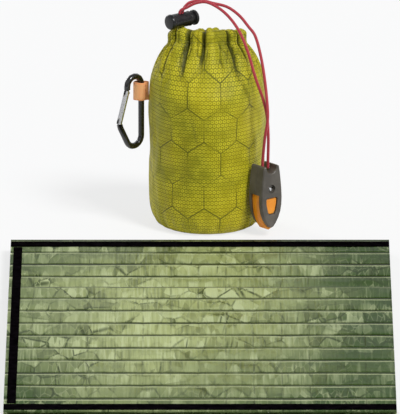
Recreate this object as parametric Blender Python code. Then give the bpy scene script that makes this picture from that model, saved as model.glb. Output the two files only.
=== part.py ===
"""Emergency sleeping bag kit: a foil sleeping bag folded along its own creases, and the drawcord stuff sack
it packs into, with cord lock, whistle and snap-gate carabiner. Metres, +Z up, the front towards -Y.
The origin is the centre of the sack's base, on the floor."""

import math

import bmesh
import bpy
import numpy as np
from mathutils import Matrix, Vector

MM = 0.001
GAP = 0.3 * MM

# The sleeping bag, open and flat.
BAG_LENGTH = 2130 * MM
BAG_WIDTH = 914 * MM
STRIPS = 13
SECTIONS = 7
FILM = 0.3 * MM
TAPE_WIDTH = 15 * MM
TAPE_INSET = 7 * MM
FOOT_TAPE_WIDTH = 7 * MM
FOOT_TAPE_INSET = 2.5 * MM
TAPE_CLEAR = 2 * MM
PLEAT_SLOPE = 5 * MM
PLEAT_TURN = 0.9 * MM
BAG_CENTRE_X = -5.7 * MM
BAG_FAR_Y = -92 * MM

# The stuff sack. SACK_HEIGHT is to the crest of the hem.
SACK_RADIUS = 47 * MM
SACK_HEIGHT = 162.4 * MM
SACK_WALL = 0.7 * MM
BASE_RADIUS = 31 * MM
BASE_THICKNESS = 0.9 * MM
BASE_SEAM_GAP = 0.6 * MM
FOOT_CURVE = 32 * MM
SHOULDER = 41 * MM
PLEATS = 14
PLEAT_DEPTH = 2.1 * MM
HEM_PLEAT_DEPTH = 1.0 * MM
SACK_STEPS = 70
MOUTH_OVAL = 0.5
HEM_MIDDLE = 27 * MM
CHANNEL_HALF = 4.35 * MM
HEM_DROP = 10.4 * MM
HEM_BLEND_LOW = 6 * MM
HEM_BLEND_HIGH = 4 * MM
OVAL_BLEND = 14 * MM
BODY_SWELL = 0.6 * MM
LOCK_LIFT = 2.2 * MM
RIM_WAVE = 0.7 * MM
RIM_TILT = 3.0 * MM

# The cord and its lock. The lock lies over the hem at LOCK_ANGLE round the mouth.
CORD_DIAMETER = 2.4 * MM
HEM_CORD_DROP = 6.4 * MM
SLIT_DROP = 5.4 * MM
SLIT_RISE = 2.0 * MM
CORD_TURN = 3.0 * MM
HEM_CORD_INSET = 0.5 * MM
LOCK_ANGLE = math.radians(-142.3)
LOCK_INSET = 0.84 * MM
LOCK_ABOVE_HEM = 9.8 * MM
LOCK_YAW = math.radians(40)
BARREL_RADIUS = 6.2 * MM
BARREL_LEFT = 13.5 * MM
BARREL_RIGHT = 8.0 * MM
BARREL_END = 2.0 * MM
BORE_RADIUS = 4.6 * MM
PLUNGER_TRAVEL = 3.5 * MM
PLUNGER_HEAD = 3.0 * MM
STEM_LEFT = 5.2 * MM
SPRING_WIRE = 0.6 * MM
SPRING_RADIUS = 3.0 * MM
SPRING_TURNS = 3.5

# The webbing loop. LOOP_HEIGHT is the middle of its width.
LOOP_HEIGHT = 111 * MM
WEB_WIDTH = 15 * MM
WEB_THICKNESS = 1.2 * MM
SPINE_STANDOFF = 6.2 * MM

# The carabiner. Its heights are from the middle of the webbing loop.
ROD_DIAMETER = 5 * MM
CARABINER_YAW = math.radians(222)
NOSE_REACH = 15.2 * MM
SPINE_TOP = 5.6 * MM
BEND_RADIUS = 8.1 * MM
BEND_DROP = 36.7 * MM
GATE_REACH = 23.4 * MM
GATE_FOOT_DROP = 22.0 * MM
GATE_TIP_RISE = 3.0 * MM
GATE_DIAMETER = 4.6 * MM
PIN_DIAMETER = 1.2 * MM
NOSE_PIN_DIAMETER = 0.96 * MM
TANG = 1.6 * MM
FORK = 2.2 * MM
TANG_DROP = 3.8 * MM
NOSE_HALF = 1.3 * MM

# The whistle. Its heights are from the hinge about which it swings.
WHISTLE_ANGLE = math.radians(-38.21)
WHISTLE_CLEARANCE = 4.32 * MM
WHISTLE_HINGE_HEIGHT = 58.5 * MM
WHISTLE_YAW = math.radians(39.4)
WHISTLE_HALF = 8.5 * MM
WHISTLE_WIDTH = 21.6 * MM
WHISTLE_LENGTH = 50.5 * MM
PLATE_INNER = 5.0 * MM
NOTCH_RADIUS = 5.2 * MM
CORE_TOP_DROP = 22.7 * MM
CORE_LENGTH = 53.0 * MM
CORE_EDGE = 0.8 * MM
WINDOW_DROP = 25.4 * MM
WINDOW_LENGTH = 13.9 * MM
WINDOW_WIDE = 11.6 * MM
WINDOW_NARROW = 7.4 * MM
WINDOW_CORNER = 1.1 * MM
RECESS_DROP = 18.0 * MM
RECESS_RADIUS = 3.4 * MM
RECESS_DEPTH = 1.6 * MM


def clear_scene():
    for obj in list(bpy.data.objects):
        bpy.data.objects.remove(obj, do_unlink=True)


def make_material(name, colour, roughness, metallic=0.0):
    found = bpy.data.materials.get(name)
    if found:
        return found
    made = bpy.data.materials.new(name)
    made.use_nodes = True
    shader = made.node_tree.nodes["Principled BSDF"]
    shader.inputs["Base Color"].default_value = (*colour, 1.0)
    shader.inputs["Roughness"].default_value = roughness
    shader.inputs["Metallic"].default_value = metallic
    made.diffuse_color = (*colour, 1.0)
    return made


def add_mesh(name, points, faces, material, smooth_angle=None, matrix=None):
    """One object from points and faces, its normals turned outwards."""
    mesh = bpy.data.meshes.new(name)
    mesh.from_pydata([tuple(p) for p in points], [], faces)
    work = bmesh.new()
    work.from_mesh(mesh)
    bmesh.ops.recalc_face_normals(work, faces=work.faces[:])
    work.to_mesh(mesh)
    work.free()
    obj = bpy.data.objects.new(name, mesh)
    bpy.context.scene.collection.objects.link(obj)
    if material:
        mesh.materials.append(material)
    if matrix is not None:
        obj.matrix_world = matrix
    if smooth_angle is not None:
        mesh.shade_smooth()
        mesh.set_sharp_from_angle(angle=math.radians(smooth_angle))
    return obj


def rings_mesh(rings, closed_rings, closed_loop, caps):
    """Points and faces of a surface laid through rings of equal length."""
    count = len(rings[0])
    points = [p for ring in rings for p in ring]
    faces = []
    last = len(rings) if closed_loop else len(rings) - 1
    around = count if closed_rings else count - 1
    for i in range(last):
        a = i * count
        b = ((i + 1) % len(rings)) * count
        for j in range(around):
            k = (j + 1) % count
            faces.append((a + j, a + k, b + k, b + j))
    if caps:
        faces.append(tuple(range(count)))
        faces.append(tuple((len(rings) - 1) * count + j for j in range(count)))
    return points, faces


def sweep(path, radius, sides):
    """A round bar along a path of points, with flat ends."""
    path = [Vector(p) for p in path]
    tangents = []
    for i in range(len(path)):
        ahead = path[min(i + 1, len(path) - 1)]
        behind = path[max(i - 1, 0)]
        tangents.append((ahead - behind).normalized())
    side = tangents[0].orthogonal().normalized()
    rings = []
    for point, tangent in zip(path, tangents):
        side = (side - tangent * side.dot(tangent)).normalized()
        other = tangent.cross(side)
        ring = []
        for j in range(sides):
            angle = 2 * math.pi * j / sides
            ring.append(point + radius * (math.cos(angle) * side + math.sin(angle) * other))
        rings.append(ring)
    return rings_mesh(rings, True, False, True)


def revolve_x(profile, steps):
    """A body of revolution about X from (x, radius) points; ends on the axis are closed with a face."""
    rings = []
    for x, radius in profile:
        ring = []
        for j in range(steps):
            angle = 2 * math.pi * j / steps
            ring.append(Vector((x, radius * math.cos(angle), radius * math.sin(angle))))
        rings.append(ring)
    return rings_mesh(rings, True, False, True)


def prism(outline, low, high, axis="Z"):
    """A flat outline, extruded. The outline is in the plane square to the axis."""
    rings = []
    for level in (low, high):
        if axis == "Z":
            rings.append([Vector((a, b, level)) for a, b in outline])
        elif axis == "X":
            rings.append([Vector((level, a, b)) for a, b in outline])
        else:
            rings.append([Vector((a, level, b)) for a, b in outline])
    return rings_mesh(rings, True, False, True)


def box(low, high):
    corners = [(low[0], low[1]), (high[0], low[1]), (high[0], high[1]), (low[0], high[1])]
    return prism(corners, low[2], high[2])


def round_pin(centre, radius, half_length, steps, axis="Y"):
    points, faces = revolve_x([(-half_length, radius), (half_length, radius)], steps)
    turned = []
    for p in points:
        turned.append(Vector((p.y, p.x, p.z)) + centre if axis == "Y" else Vector((p.y, p.z, p.x)) + centre)
    return turned, faces


def cut(target, name, shape, operation="DIFFERENCE"):
    """A Boolean with the exact solver, by a hidden cutter in the target's own frame."""
    points, faces = shape
    cutter = add_mesh(name, points, faces, None)
    cutter.matrix_world = target.matrix_world.copy()
    cutter.hide_render = True
    cutter.display_type = "WIRE"
    modifier = target.modifiers.new(name, "BOOLEAN")
    modifier.operation = operation
    modifier.solver = "EXACT"
    modifier.object = cutter
    return cutter


def smoothstep(low, high, value):
    t = min(max((value - low) / (high - low), 0.0), 1.0)
    return t * t * (3 - 2 * t)


def smooth_path(points, count):
    """Points evenly spaced on a smooth curve through the chosen points."""
    fixed = [Vector(p) for p in points]
    fixed = [2 * fixed[0] - fixed[1]] + fixed + [2 * fixed[-1] - fixed[-2]]
    dense = []
    for i in range(1, len(fixed) - 2):
        p0, p1, p2, p3 = fixed[i - 1 : i + 3]
        for j in range(24):
            t = j / 24
            dense.append(
                0.5
                * (
                    2 * p1
                    + (p2 - p0) * t
                    + (2 * p0 - 5 * p1 + 4 * p2 - p3) * t * t
                    + (3 * p1 - p0 - 3 * p2 + p3) * t**3
                )
            )
    dense.append(fixed[-2])
    lengths = [0.0]
    for a, b in zip(dense, dense[1:]):
        lengths.append(lengths[-1] + (b - a).length)
    wanted = np.linspace(0, lengths[-1], count)
    table = np.array([tuple(p) for p in dense])
    columns = [np.interp(wanted, lengths, table[:, axis]) for axis in range(3)]
    return [Vector(p) for p in zip(*columns)], lengths[-1]


def add_cord(name, path, diameter, material):
    """A cord as a curve with a round bevel and filled ends."""
    curve = bpy.data.curves.new(name, "CURVE")
    curve.dimensions = "3D"
    curve.bevel_depth = diameter / 2
    curve.bevel_resolution = 2
    curve.use_fill_caps = True
    spline = curve.splines.new("POLY")
    spline.points.add(len(path) - 1)
    for point, place in zip(spline.points, path):
        point.co = (*place, 1.0)
    spline.use_smooth = True
    obj = bpy.data.objects.new(name, curve)
    bpy.context.scene.collection.objects.link(obj)
    curve.materials.append(material)
    return obj


clear_scene()

GREEN = make_material("sack_ripstop", (0.40, 0.36, 0.035), 0.62)
RED = make_material("cord_red", (0.55, 0.035, 0.06), 0.7)
ORANGE_WEB = make_material("webbing_orange", (0.90, 0.22, 0.06), 0.75)
BLACK = make_material("lock_black", (0.012, 0.012, 0.014), 0.35)
STEEL = make_material("bare_steel", (0.62, 0.62, 0.62), 0.28, 1.0)
GLOSS = make_material("carabiner_black", (0.008, 0.007, 0.008), 0.18)
GREY = make_material("whistle_grey", (0.10, 0.095, 0.085), 0.5)
ORANGE = make_material("whistle_orange", (0.85, 0.27, 0.02), 0.42)
FOIL = make_material("bag_foil", (0.27, 0.34, 0.14), 0.38)
TAPE = make_material("bag_tape", (0.010, 0.009, 0.012), 0.6)


# The stuff sack: side wall, base panel and hem channel.
SHOULDER_POWER = 2.3
FOOT_POWER = 1.4
WALL_TOP = SACK_HEIGHT - HEM_DROP - GAP
CHANNEL_TOP_RADIUS = HEM_MIDDLE + CHANNEL_HALF


def wall_outline():
    """Radius and height from the base seam, round the foot, up the side and over the shoulder to the hem."""
    seam = BASE_RADIUS + BASE_SEAM_GAP
    outline = []
    for step in range(5):
        angle = math.radians(22.5 * step)
        rise = (1 - math.cos(angle)) ** FOOT_POWER
        outline.append((seam + (SACK_RADIUS - seam) * math.sin(angle), FOOT_CURVE * rise))
    for step in range(6):
        share = step / 5
        drawn_in = (SACK_RADIUS - CHANNEL_TOP_RADIUS) * share**SHOULDER_POWER
        outline.append((SACK_RADIUS - drawn_in, WALL_TOP - SHOULDER * (1 - share)))
    return outline


def hem_outline():
    """Radius and height of the hem: a straight side, a round crest and a straight side down again."""
    side = SACK_HEIGHT - CHANNEL_HALF
    outline = [(HEM_MIDDLE + CHANNEL_HALF, SACK_HEIGHT - HEM_DROP)]
    for step in range(5):
        angle = math.radians(45 * step)
        outline.append((HEM_MIDDLE + CHANNEL_HALF * math.cos(angle), side + CHANNEL_HALF * math.sin(angle)))
    outline.append((HEM_MIDDLE - CHANNEL_HALF, SACK_HEIGHT - HEM_DROP))
    return outline


def pleat(angle):
    return math.cos(PLEATS * angle + 0.6 * math.sin(2 * angle)) + 0.25 * math.cos(2 * PLEATS * angle + 1.0)


def sack_point(radius, height, angle, pleated=1.0):
    """A point of the gathered cloth: round at the body, oval and pleated at the mouth, low at the back."""
    gathered = smoothstep(WALL_TOP - SHOULDER, WALL_TOP, height)
    depth = 1 - (1 - MOUTH_OVAL) * gathered
    at_hem = smoothstep(WALL_TOP - HEM_BLEND_LOW, WALL_TOP + HEM_BLEND_HIGH, height)
    swell = BODY_SWELL * math.sin(3 * angle + 0.7) * math.sin(math.pi * min(height / WALL_TOP, 1.0))
    fold = pleated * pleat(angle) * (PLEAT_DEPTH * gathered - (PLEAT_DEPTH - HEM_PLEAT_DEPTH) * at_hem)
    r = radius + swell * (1 - gathered) + fold
    apart = (angle - LOCK_ANGLE + math.pi) % (2 * math.pi) - math.pi
    lift = LOCK_LIFT * math.exp(-((apart / 0.28) ** 2)) * gathered
    waves = RIM_WAVE * math.sin(5 * angle + 0.4) * gathered
    back = RIM_TILT * gathered * (math.sin(angle) + 0.2)
    # Near the mouth only the hem's middle line is oval, so that the channel keeps its width all round.
    hem_depth = HEM_MIDDLE * depth + r - HEM_MIDDLE
    reach = r * depth + (hem_depth - r * depth) * smoothstep(WALL_TOP - OVAL_BLEND, WALL_TOP, height)
    return Vector((r * math.cos(angle), reach * math.sin(angle), height + lift + waves - back))


def offset_profile(profile, distance):
    """The profile moved inwards, to the left of its direction."""
    moved = []
    for i, (r, z) in enumerate(profile):
        r1, z1 = profile[min(i + 1, len(profile) - 1)]
        r0, z0 = profile[max(i - 1, 0)]
        length = math.hypot(r1 - r0, z1 - z0)
        moved.append((r - distance * (z1 - z0) / length, z + distance * (r1 - r0) / length))
    return moved


def sack_shell(name, profile, material, steps, inner_step=1):
    """The cloth between a profile and its inner side, of which every inner_step-th point is kept."""
    inner = offset_profile(profile, SACK_WALL)[::inner_step]
    loop = profile + inner[::-1]
    rings = []
    for j in range(steps):
        angle = 2 * math.pi * j / steps
        rings.append([sack_point(r, z, angle) for r, z in loop])
    points, faces = rings_mesh(rings, True, True, False)
    return add_mesh(name, points, faces, material, 60)


sack_shell("sack_wall", wall_outline(), GREEN, SACK_STEPS, 2)

base_profile = [(BASE_RADIUS - 0.6 * MM, 0), (BASE_RADIUS, BASE_THICKNESS / 3)]
base_profile += [(BASE_RADIUS, BASE_THICKNESS * 2 / 3), (BASE_RADIUS - 0.4 * MM, BASE_THICKNESS)]
base_rings = []
for r, z in base_profile:
    turn = np.linspace(0, 2 * math.pi, 40, endpoint=False)
    base_rings.append([Vector((r * math.cos(a), r * math.sin(a), z)) for a in turn])
base_points, base_faces = rings_mesh(base_rings, True, False, True)
add_mesh("sack_base", base_points, base_faces, GREEN, 40)

# The hem is folded inwards over the drawcord: an upside-down U that stays open towards the inside.
hem = sack_shell("sack_hem", hem_outline(), GREEN, SACK_STEPS)

# Two strands of cord come up through a slit in the hem, side by side along the lock's barrel.
LOCK_OUT = HEM_MIDDLE - LOCK_INSET
LOCK_CENTRE = Vector((LOCK_OUT * math.cos(LOCK_ANGLE), LOCK_OUT * MOUTH_OVAL * math.sin(LOCK_ANGLE), 0))
LOCK_CENTRE.z = SACK_HEIGHT + LOCK_ABOVE_HEM
LOCK_AXIS = Vector((math.cos(LOCK_YAW), math.sin(LOCK_YAW), 0))
STRAND_APART = (CORD_DIAMETER + GAP) / 2
slit_place = Matrix.Translation(Vector((LOCK_CENTRE.x, LOCK_CENTRE.y, 0)))
slit_matrix = slit_place @ Matrix.Rotation(LOCK_YAW, 4, "Z")
SLIT_HALF_LENGTH = CORD_DIAMETER + 1.0 * MM
SLIT_HALF_WIDTH = CORD_DIAMETER / 2 + 1.1 * MM
slit_low = (-SLIT_HALF_LENGTH, -SLIT_HALF_WIDTH, SACK_HEIGHT - SLIT_DROP)
slit_high = (SLIT_HALF_LENGTH, SLIT_HALF_WIDTH, LOCK_CENTRE.z)
slit = cut(hem, "cutter_hem_slit", box(slit_low, slit_high))
slit.matrix_world = slit_matrix

# The run of the drawcord that lies in the hem, its two ends turned up through the slit.
HEM_CORD_RADIUS = HEM_MIDDLE - HEM_CORD_INSET
HEM_CORD_HEIGHT = SACK_HEIGHT - HEM_CORD_DROP
SLIT_TOP = SACK_HEIGHT + SLIT_RISE
strand_feet = [LOCK_CENTRE + LOCK_AXIS * s * STRAND_APART for s in (1, -1)]
run = []
for j in range(45):
    angle = LOCK_ANGLE + 0.20 + (2 * math.pi - 0.40) * j / 44
    run.append(sack_point(HEM_CORD_RADIUS, HEM_CORD_HEIGHT, angle, 0.0))
foot_a = Vector((strand_feet[0].x, strand_feet[0].y, SLIT_TOP))
foot_b = Vector((strand_feet[1].x, strand_feet[1].y, SLIT_TOP))
turn_down = Vector((0, 0, CORD_TURN))
run = [foot_a, foot_a - turn_down] + run + [foot_b - turn_down, foot_b]
hem_path, hem_length = smooth_path(run, 66)
add_cord("drawcord_hem_run", hem_path, CORD_DIAMETER, RED)

# The webbing loop, sewn into the left side seam. Its eye takes the carabiner's spine.
WEB_LOW = LOOP_HEIGHT - WEB_WIDTH / 2
WEB_HIGH = LOOP_HEIGHT + WEB_WIDTH / 2
SPINE_X = -(SACK_RADIUS + SPINE_STANDOFF)
EYE = ROD_DIAMETER / 2 + 0.7 * MM


def loop_outline(half, root_x, steps):
    """Seen from above: a round end about the spine, drawn in to a flat root at the sack."""
    outline = []
    for j in range(steps + 1):
        angle = math.radians(70 + 220 * j / steps)
        outline.append((SPINE_X + half * 1.25 * math.cos(angle), half * math.sin(angle)))
    root = 0.42 * half
    outline.append((root_x, -root))
    outline.append((root_x, root))
    return outline


outer = loop_outline(EYE + WEB_THICKNESS, -(SACK_RADIUS + 0.55 * MM), 14)
inner = loop_outline(EYE, -(SACK_RADIUS + 2.2 * MM), 14)
web_rings = []
for outline, low, high in ((outer, WEB_LOW, WEB_HIGH), (inner, WEB_HIGH, WEB_LOW)):
    for z in (low, high):
        web_rings.append([Vector((x, y, z)) for x, y in outline])
web_points, web_faces = rings_mesh(web_rings, True, True, False)
add_mesh("webbing_loop", web_points, web_faces, ORANGE_WEB, 40)

# The cord lock: a barrel with a sprung plunger, both cross-drilled for the two strands.
lock_matrix = Matrix.Translation(LOCK_CENTRE) @ Matrix.Rotation(LOCK_YAW, 4, "Z")
barrel_profile = [
    (-BARREL_LEFT, BARREL_RADIUS - 1.8 * MM), (-BARREL_LEFT + 0.3 * MM, BARREL_RADIUS - 0.8 * MM),
    (-BARREL_LEFT + 1.1 * MM, BARREL_RADIUS - 0.1 * MM), (-BARREL_LEFT + 2.1 * MM, BARREL_RADIUS + 0.1 * MM),
    (-BARREL_LEFT + 3.1 * MM, BARREL_RADIUS), (-BARREL_LEFT + 3.6 * MM, BARREL_RADIUS - 0.3 * MM),
    (BARREL_RIGHT - 0.8 * MM, BARREL_RADIUS - 0.3 * MM), (BARREL_RIGHT - 0.3 * MM, BARREL_RADIUS),
    (BARREL_RIGHT, BARREL_RADIUS - 0.4 * MM), (BARREL_RIGHT, BORE_RADIUS),
    (-BARREL_LEFT + BARREL_END, BORE_RADIUS),
]
barrel = add_mesh("cord_lock_barrel", *revolve_x(barrel_profile, 24), BLACK, 40, lock_matrix)
HOLE_HALF_LENGTH = CORD_DIAMETER + GAP + 0.3 * MM
HOLE_HALF_WIDTH = CORD_DIAMETER / 2 + 0.45 * MM
through = BARREL_RADIUS + 3 * MM
hole_high = (HOLE_HALF_LENGTH, HOLE_HALF_WIDTH, through)
cut(barrel, "cutter_barrel_hole", box((-HOLE_HALF_LENGTH, -HOLE_HALF_WIDTH, -through), hole_high))

stem_radius = BORE_RADIUS - GAP
head_inner = BARREL_RIGHT + PLUNGER_TRAVEL + GAP
head_outer = head_inner + PLUNGER_HEAD
plunger_profile = [
    (-STEM_LEFT, stem_radius - 0.4 * MM), (-STEM_LEFT + 0.4 * MM, stem_radius), (head_inner, stem_radius),
    (head_inner, BARREL_RADIUS - 0.5 * MM), (head_inner + 0.5 * MM, BARREL_RADIUS),
    (head_outer - 1.0 * MM, BARREL_RADIUS), (head_outer - 0.3 * MM, BARREL_RADIUS - 0.7 * MM),
    (head_outer, BARREL_RADIUS - 2.0 * MM),
]
plunger = add_mesh("cord_lock_plunger", *revolve_x(plunger_profile, 24), BLACK, 40, lock_matrix)
clamp_edge = -(STRAND_APART + CORD_DIAMETER / 2 + GAP)
slot_right = STRAND_APART + CORD_DIAMETER / 2 + PLUNGER_TRAVEL + 0.4 * MM
slot_high = (slot_right, HOLE_HALF_WIDTH, BARREL_RADIUS)
cut(plunger, "cutter_plunger_slot", box((clamp_edge, -HOLE_HALF_WIDTH, -BARREL_RADIUS), slot_high))

spring_left = -BARREL_LEFT + BARREL_END + GAP + SPRING_WIRE / 2
spring_right = -STEM_LEFT - GAP - SPRING_WIRE / 2
spring_path = []
for j in range(int(SPRING_TURNS * 10) + 1):
    angle = 2 * math.pi * j / 10
    x = spring_left + (spring_right - spring_left) * j / (SPRING_TURNS * 10)
    spring_path.append((x, SPRING_RADIUS * math.cos(angle), SPRING_RADIUS * math.sin(angle)))
add_mesh("cord_lock_spring", *sweep(spring_path, SPRING_WIRE / 2, 6), STEEL, 60, lock_matrix)
spring_gap = (spring_right - spring_left) / SPRING_TURNS - SPRING_WIRE
print(f"cord lock spring: least gap between turns {spring_gap / MM:.2f} mm")

# The whistle, hung by the two strands. Its own frame has X across the face, Y into its thickness and its
# origin on the hinge.
whistle_out = SACK_RADIUS + WHISTLE_HALF + WHISTLE_CLEARANCE
HINGE = Matrix.Rotation(WHISTLE_ANGLE, 3, "Z") @ Vector((whistle_out, 0, WHISTLE_HINGE_HEIGHT))
whistle_matrix = Matrix.Translation(HINGE) @ Matrix.Rotation(WHISTLE_YAW, 4, "Z")


def mirrored(shares, width, length):
    """An outline from the right half's shares of the half width and the length, mirrored to the left."""
    right = [(across * width / 2, along * length) for across, along in shares]
    return right + [(-x, z) for x, z in right[-2::-1]]


def whistle_outline():
    """The face: shoulders, sides that swell slightly and a round lower end, with a round notch at the top."""
    shares = [(0.51, 0.018), (0.63, 0.018), (0.72, 0.0), (0.81, -0.093), (0.89, -0.23), (0.963, -0.376)]
    shares += [(1.0, -0.525), (0.972, -0.644), (0.87, -0.752), (0.676, -0.851), (0.426, -0.935)]
    shares += [(0.176, -0.99), (0.0, -1.0)]
    outline = mirrored(shares, WHISTLE_WIDTH, WHISTLE_LENGTH)
    for step in range(11):
        angle = math.radians(180 + 18 * step)
        outline.append((NOTCH_RADIUS * math.cos(angle), NOTCH_RADIUS * math.sin(angle)))
    return outline


def core_outline():
    """The orange core stands out round the lower end and stays inside the shells' sides."""
    shares = [(0.889, -CORE_TOP_DROP / CORE_LENGTH - 0.006), (0.926, -0.5), (0.898, -0.613), (0.824, -0.726)]
    shares += [(0.667, -0.83), (0.463, -0.913), (0.222, -0.981), (0.0, -1.0)]
    return mirrored(shares, WHISTLE_WIDTH, CORE_LENGTH)


def inset(outline, amount):
    """The outline drawn in square to its own edges."""
    points = [Vector(p) for p in outline]
    moved = []
    for i, point in enumerate(points):
        before = (point - points[i - 1]).normalized()
        after = (points[(i + 1) % len(points)] - point).normalized()
        along = (before + after).normalized()
        normal = Vector((along.y, -along.x))
        scale = max(normal.dot(Vector((before.y, -before.x))), 0.5)
        moved.append(tuple(point + normal * amount / scale))
    return moved


def window_outline(grow):
    """The sound window: a trapezoid with cut corners, narrow side down."""
    half_wide = WINDOW_WIDE / 2 + grow
    half_narrow = WINDOW_NARROW / 2 + grow
    top = -WINDOW_DROP + grow
    low = -WINDOW_DROP - WINDOW_LENGTH - grow
    corner = WINDOW_CORNER
    right = [(half_wide - corner, top), (half_wide, top - corner)]
    right.append((half_wide - 0.1 * corner, top + 0.36 * (low - top)))
    right += [(half_narrow + 0.3 * corner, low + 1.6 * corner), (half_narrow - corner, low)]
    return right + [(-x, z) for x, z in right[::-1]]


def spanned(side, near, far):
    """The two distances on one side of the middle, the lower one first."""
    return min(side * near, side * far), max(side * near, side * far)


RIVET_ACROSS = 1.2 * MM
RIVET_DROP = RECESS_DROP + 0.2 * MM
HOLE_ACROSS = 1.7 * MM
HOLE_RADIUS = 1.0 * MM
recess_floor = WHISTLE_HALF - RECESS_DEPTH
for label, side in (("front", -1), ("back", 1)):
    rings = []
    for depth, drawn in ((GAP / 2, 0.0), (WHISTLE_HALF - CORE_EDGE, 0.0), (WHISTLE_HALF, CORE_EDGE)):
        rings.append([Vector((x, side * depth, z)) for x, z in inset(whistle_outline(), drawn)])
    shell_form = rings_mesh(rings, True, False, True)
    shell = add_mesh(f"whistle_shell_{label}", *shell_form, GREY, 35, whistle_matrix)
    inner_low, inner_high = spanned(side, -1.0 * MM, PLATE_INNER)
    chamber_low = (-WHISTLE_WIDTH, inner_low, -CORE_LENGTH - 3 * MM)
    chamber_high = (WHISTLE_WIDTH, inner_high, -CORE_TOP_DROP)
    cut(shell, f"cutter_chamber_{label}", box(chamber_low, chamber_high))
    near, far = spanned(side, PLATE_INNER - 1 * MM, WHISTLE_HALF + 1 * MM)
    cut(shell, f"cutter_window_{label}", prism(window_outline(0.0), near, far, "Y"))
    recess_at = Vector((0, side * (recess_floor + 2.0 * MM), -RECESS_DROP))
    cut(shell, f"cutter_recess_{label}", round_pin(recess_at, RECESS_RADIUS, 2.0 * MM, 20))
    hole_at = Vector((HOLE_ACROSS, side * (recess_floor - 0.3 * MM), -RECESS_DROP + 0.4 * MM))
    cut(shell, f"cutter_hole_{label}", round_pin(hole_at, HOLE_RADIUS, 1.6 * MM, 12))
    rivet_profile = [(0, 1.6 * MM), (0.6 * MM, 1.55 * MM), (1.0 * MM, 1.2 * MM), (1.3 * MM, 0.6 * MM)]
    rivet_points, rivet_faces = revolve_x(rivet_profile, 14)
    placed = []
    for p in rivet_points:
        placed.append(Vector((p.y - RIVET_ACROSS, side * (recess_floor + GAP + p.x), p.z - RIVET_DROP)))
    add_mesh(f"whistle_rivet_{label}", placed, rivet_faces, STEEL, 50, whistle_matrix)

core_half = PLATE_INNER - GAP
core_rings = []
for side in (-1, 1):
    depths = ((core_half, 0.5 * MM), (core_half - 0.6 * MM, 0.0))
    for depth, drawn in depths if side < 0 else depths[::-1]:
        core_rings.append([Vector((x, side * depth, z)) for x, z in inset(core_outline(), drawn)])
core = add_mesh("whistle_core", *rings_mesh(core_rings, True, False, True), ORANGE, 35, whistle_matrix)
boss_half = WHISTLE_HALF - 1.0 * MM
cut(core, "joined_window_boss", prism(window_outline(-GAP - 0.1 * MM), -boss_half, boss_half, "Y"), "UNION")

# The two strands from the hem slit, up through the lock, over the mouth and down to the whistle.
FACE_X = Vector((math.cos(WHISTLE_YAW), math.sin(WHISTLE_YAW), 0))
STRAND_IN_NOTCH = 2.8 * MM
low_z = Vector((0, 0, SLIT_TOP + GAP))
end_z = HINGE + Vector((0, 0, -2.9 * MM))


def strand(name, foot, chosen, end, count):
    start = Vector((foot.x, foot.y, 0)) + low_z
    above = Vector((foot.x, foot.y, LOCK_CENTRE.z + 7.4 * MM))
    middle = (start + above) / 2
    points = [start, middle, above] + [Vector(p) * MM for p in chosen] + [end + Vector((0, 0, 7 * MM)), end]
    path, length = smooth_path(points, count)
    add_cord(name, path, CORD_DIAMETER, RED)
    print(f"{name}: {length / MM:.0f} mm")
    return path


inner_way = [
    (-15.8, -10.2, 183.5), (-9.3, -11.6, 187.1), (-1.6, -13.8, 188.7), (5.7, -17.0, 186.8),
    (13.8, -22.0, 182.3), (21.1, -28.0, 175.6), (27.5, -34.0, 166.4), (33.2, -39.5, 152.8),
    (38.9, -42.5, 133.4), (45.0, -41.0, 115.3), (48.4, -39.8, 99.8), (49.4, -38.5, 81.7),
]
outer_way = [
    (-15.4, -6.6, 185.5), (-9.7, -6.8, 187.6), (-2.8, -7.5, 188.1), (4.1, -9.0, 186.6),
    (16.2, -12.0, 184.1), (25.9, -17.0, 178.3), (33.2, -22.0, 170.5), (38.9, -27.0, 163.5),
    (43.3, -33.0, 148.4), (46.2, -38.0, 132.1), (48.4, -44.0, 112.8), (48.8, -45.5, 98.9),
    (46.6, -44.5, 83.4),
]
strand_inner = strand("cord_strand_inner", strand_feet[1], inner_way, end_z + FACE_X * STRAND_IN_NOTCH, 72)
strand_outer = strand("cord_strand_outer", strand_feet[0], outer_way, end_z - FACE_X * STRAND_IN_NOTCH, 74)

# The carabiner, in its own plane: X away from the spine, Z up, origin on the spine at the loop's height.
spine_place = Matrix.Translation(Vector((SPINE_X, 0, LOOP_HEIGHT)))
carabiner_matrix = spine_place @ Matrix.Rotation(CARABINER_YAW, 4, "Z")
TOP_RADIUS = NOSE_REACH / 2
BEND_END = math.radians(332)
gate_foot = Vector((GATE_REACH, 0, -GATE_FOOT_DROP))
gate_tip = Vector((NOSE_REACH, 0, GATE_TIP_RISE))
rod_path = [(NOSE_REACH, GATE_TIP_RISE + 0.4 * MM)]
for step in range(9):
    angle = math.pi * step / 8
    rod_path.append((TOP_RADIUS + TOP_RADIUS * math.cos(angle), SPINE_TOP + TOP_RADIUS * math.sin(angle)))
rod_path += [(0, -BEND_DROP / 3), (0, -BEND_DROP * 2 / 3)]
for step in range(10):
    angle = math.pi + (BEND_END - math.pi) * step / 9
    rod_path.append((BEND_RADIUS + BEND_RADIUS * math.cos(angle), -BEND_DROP + BEND_RADIUS * math.sin(angle)))
rod_path.append((gate_foot.x - 1.1 * MM, gate_foot.z - TANG_DROP - 1.8 * MM))
rod_path.append((gate_foot.x - 0.1 * MM, gate_foot.z - TANG_DROP + 1.0 * MM))
rod_points, rod_faces = sweep([(x, 0, z) for x, z in rod_path], ROD_DIAMETER / 2, 12)
carabiner = add_mesh("carabiner_body", rod_points, rod_faces, GLOSS, 40, carabiner_matrix)

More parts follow.
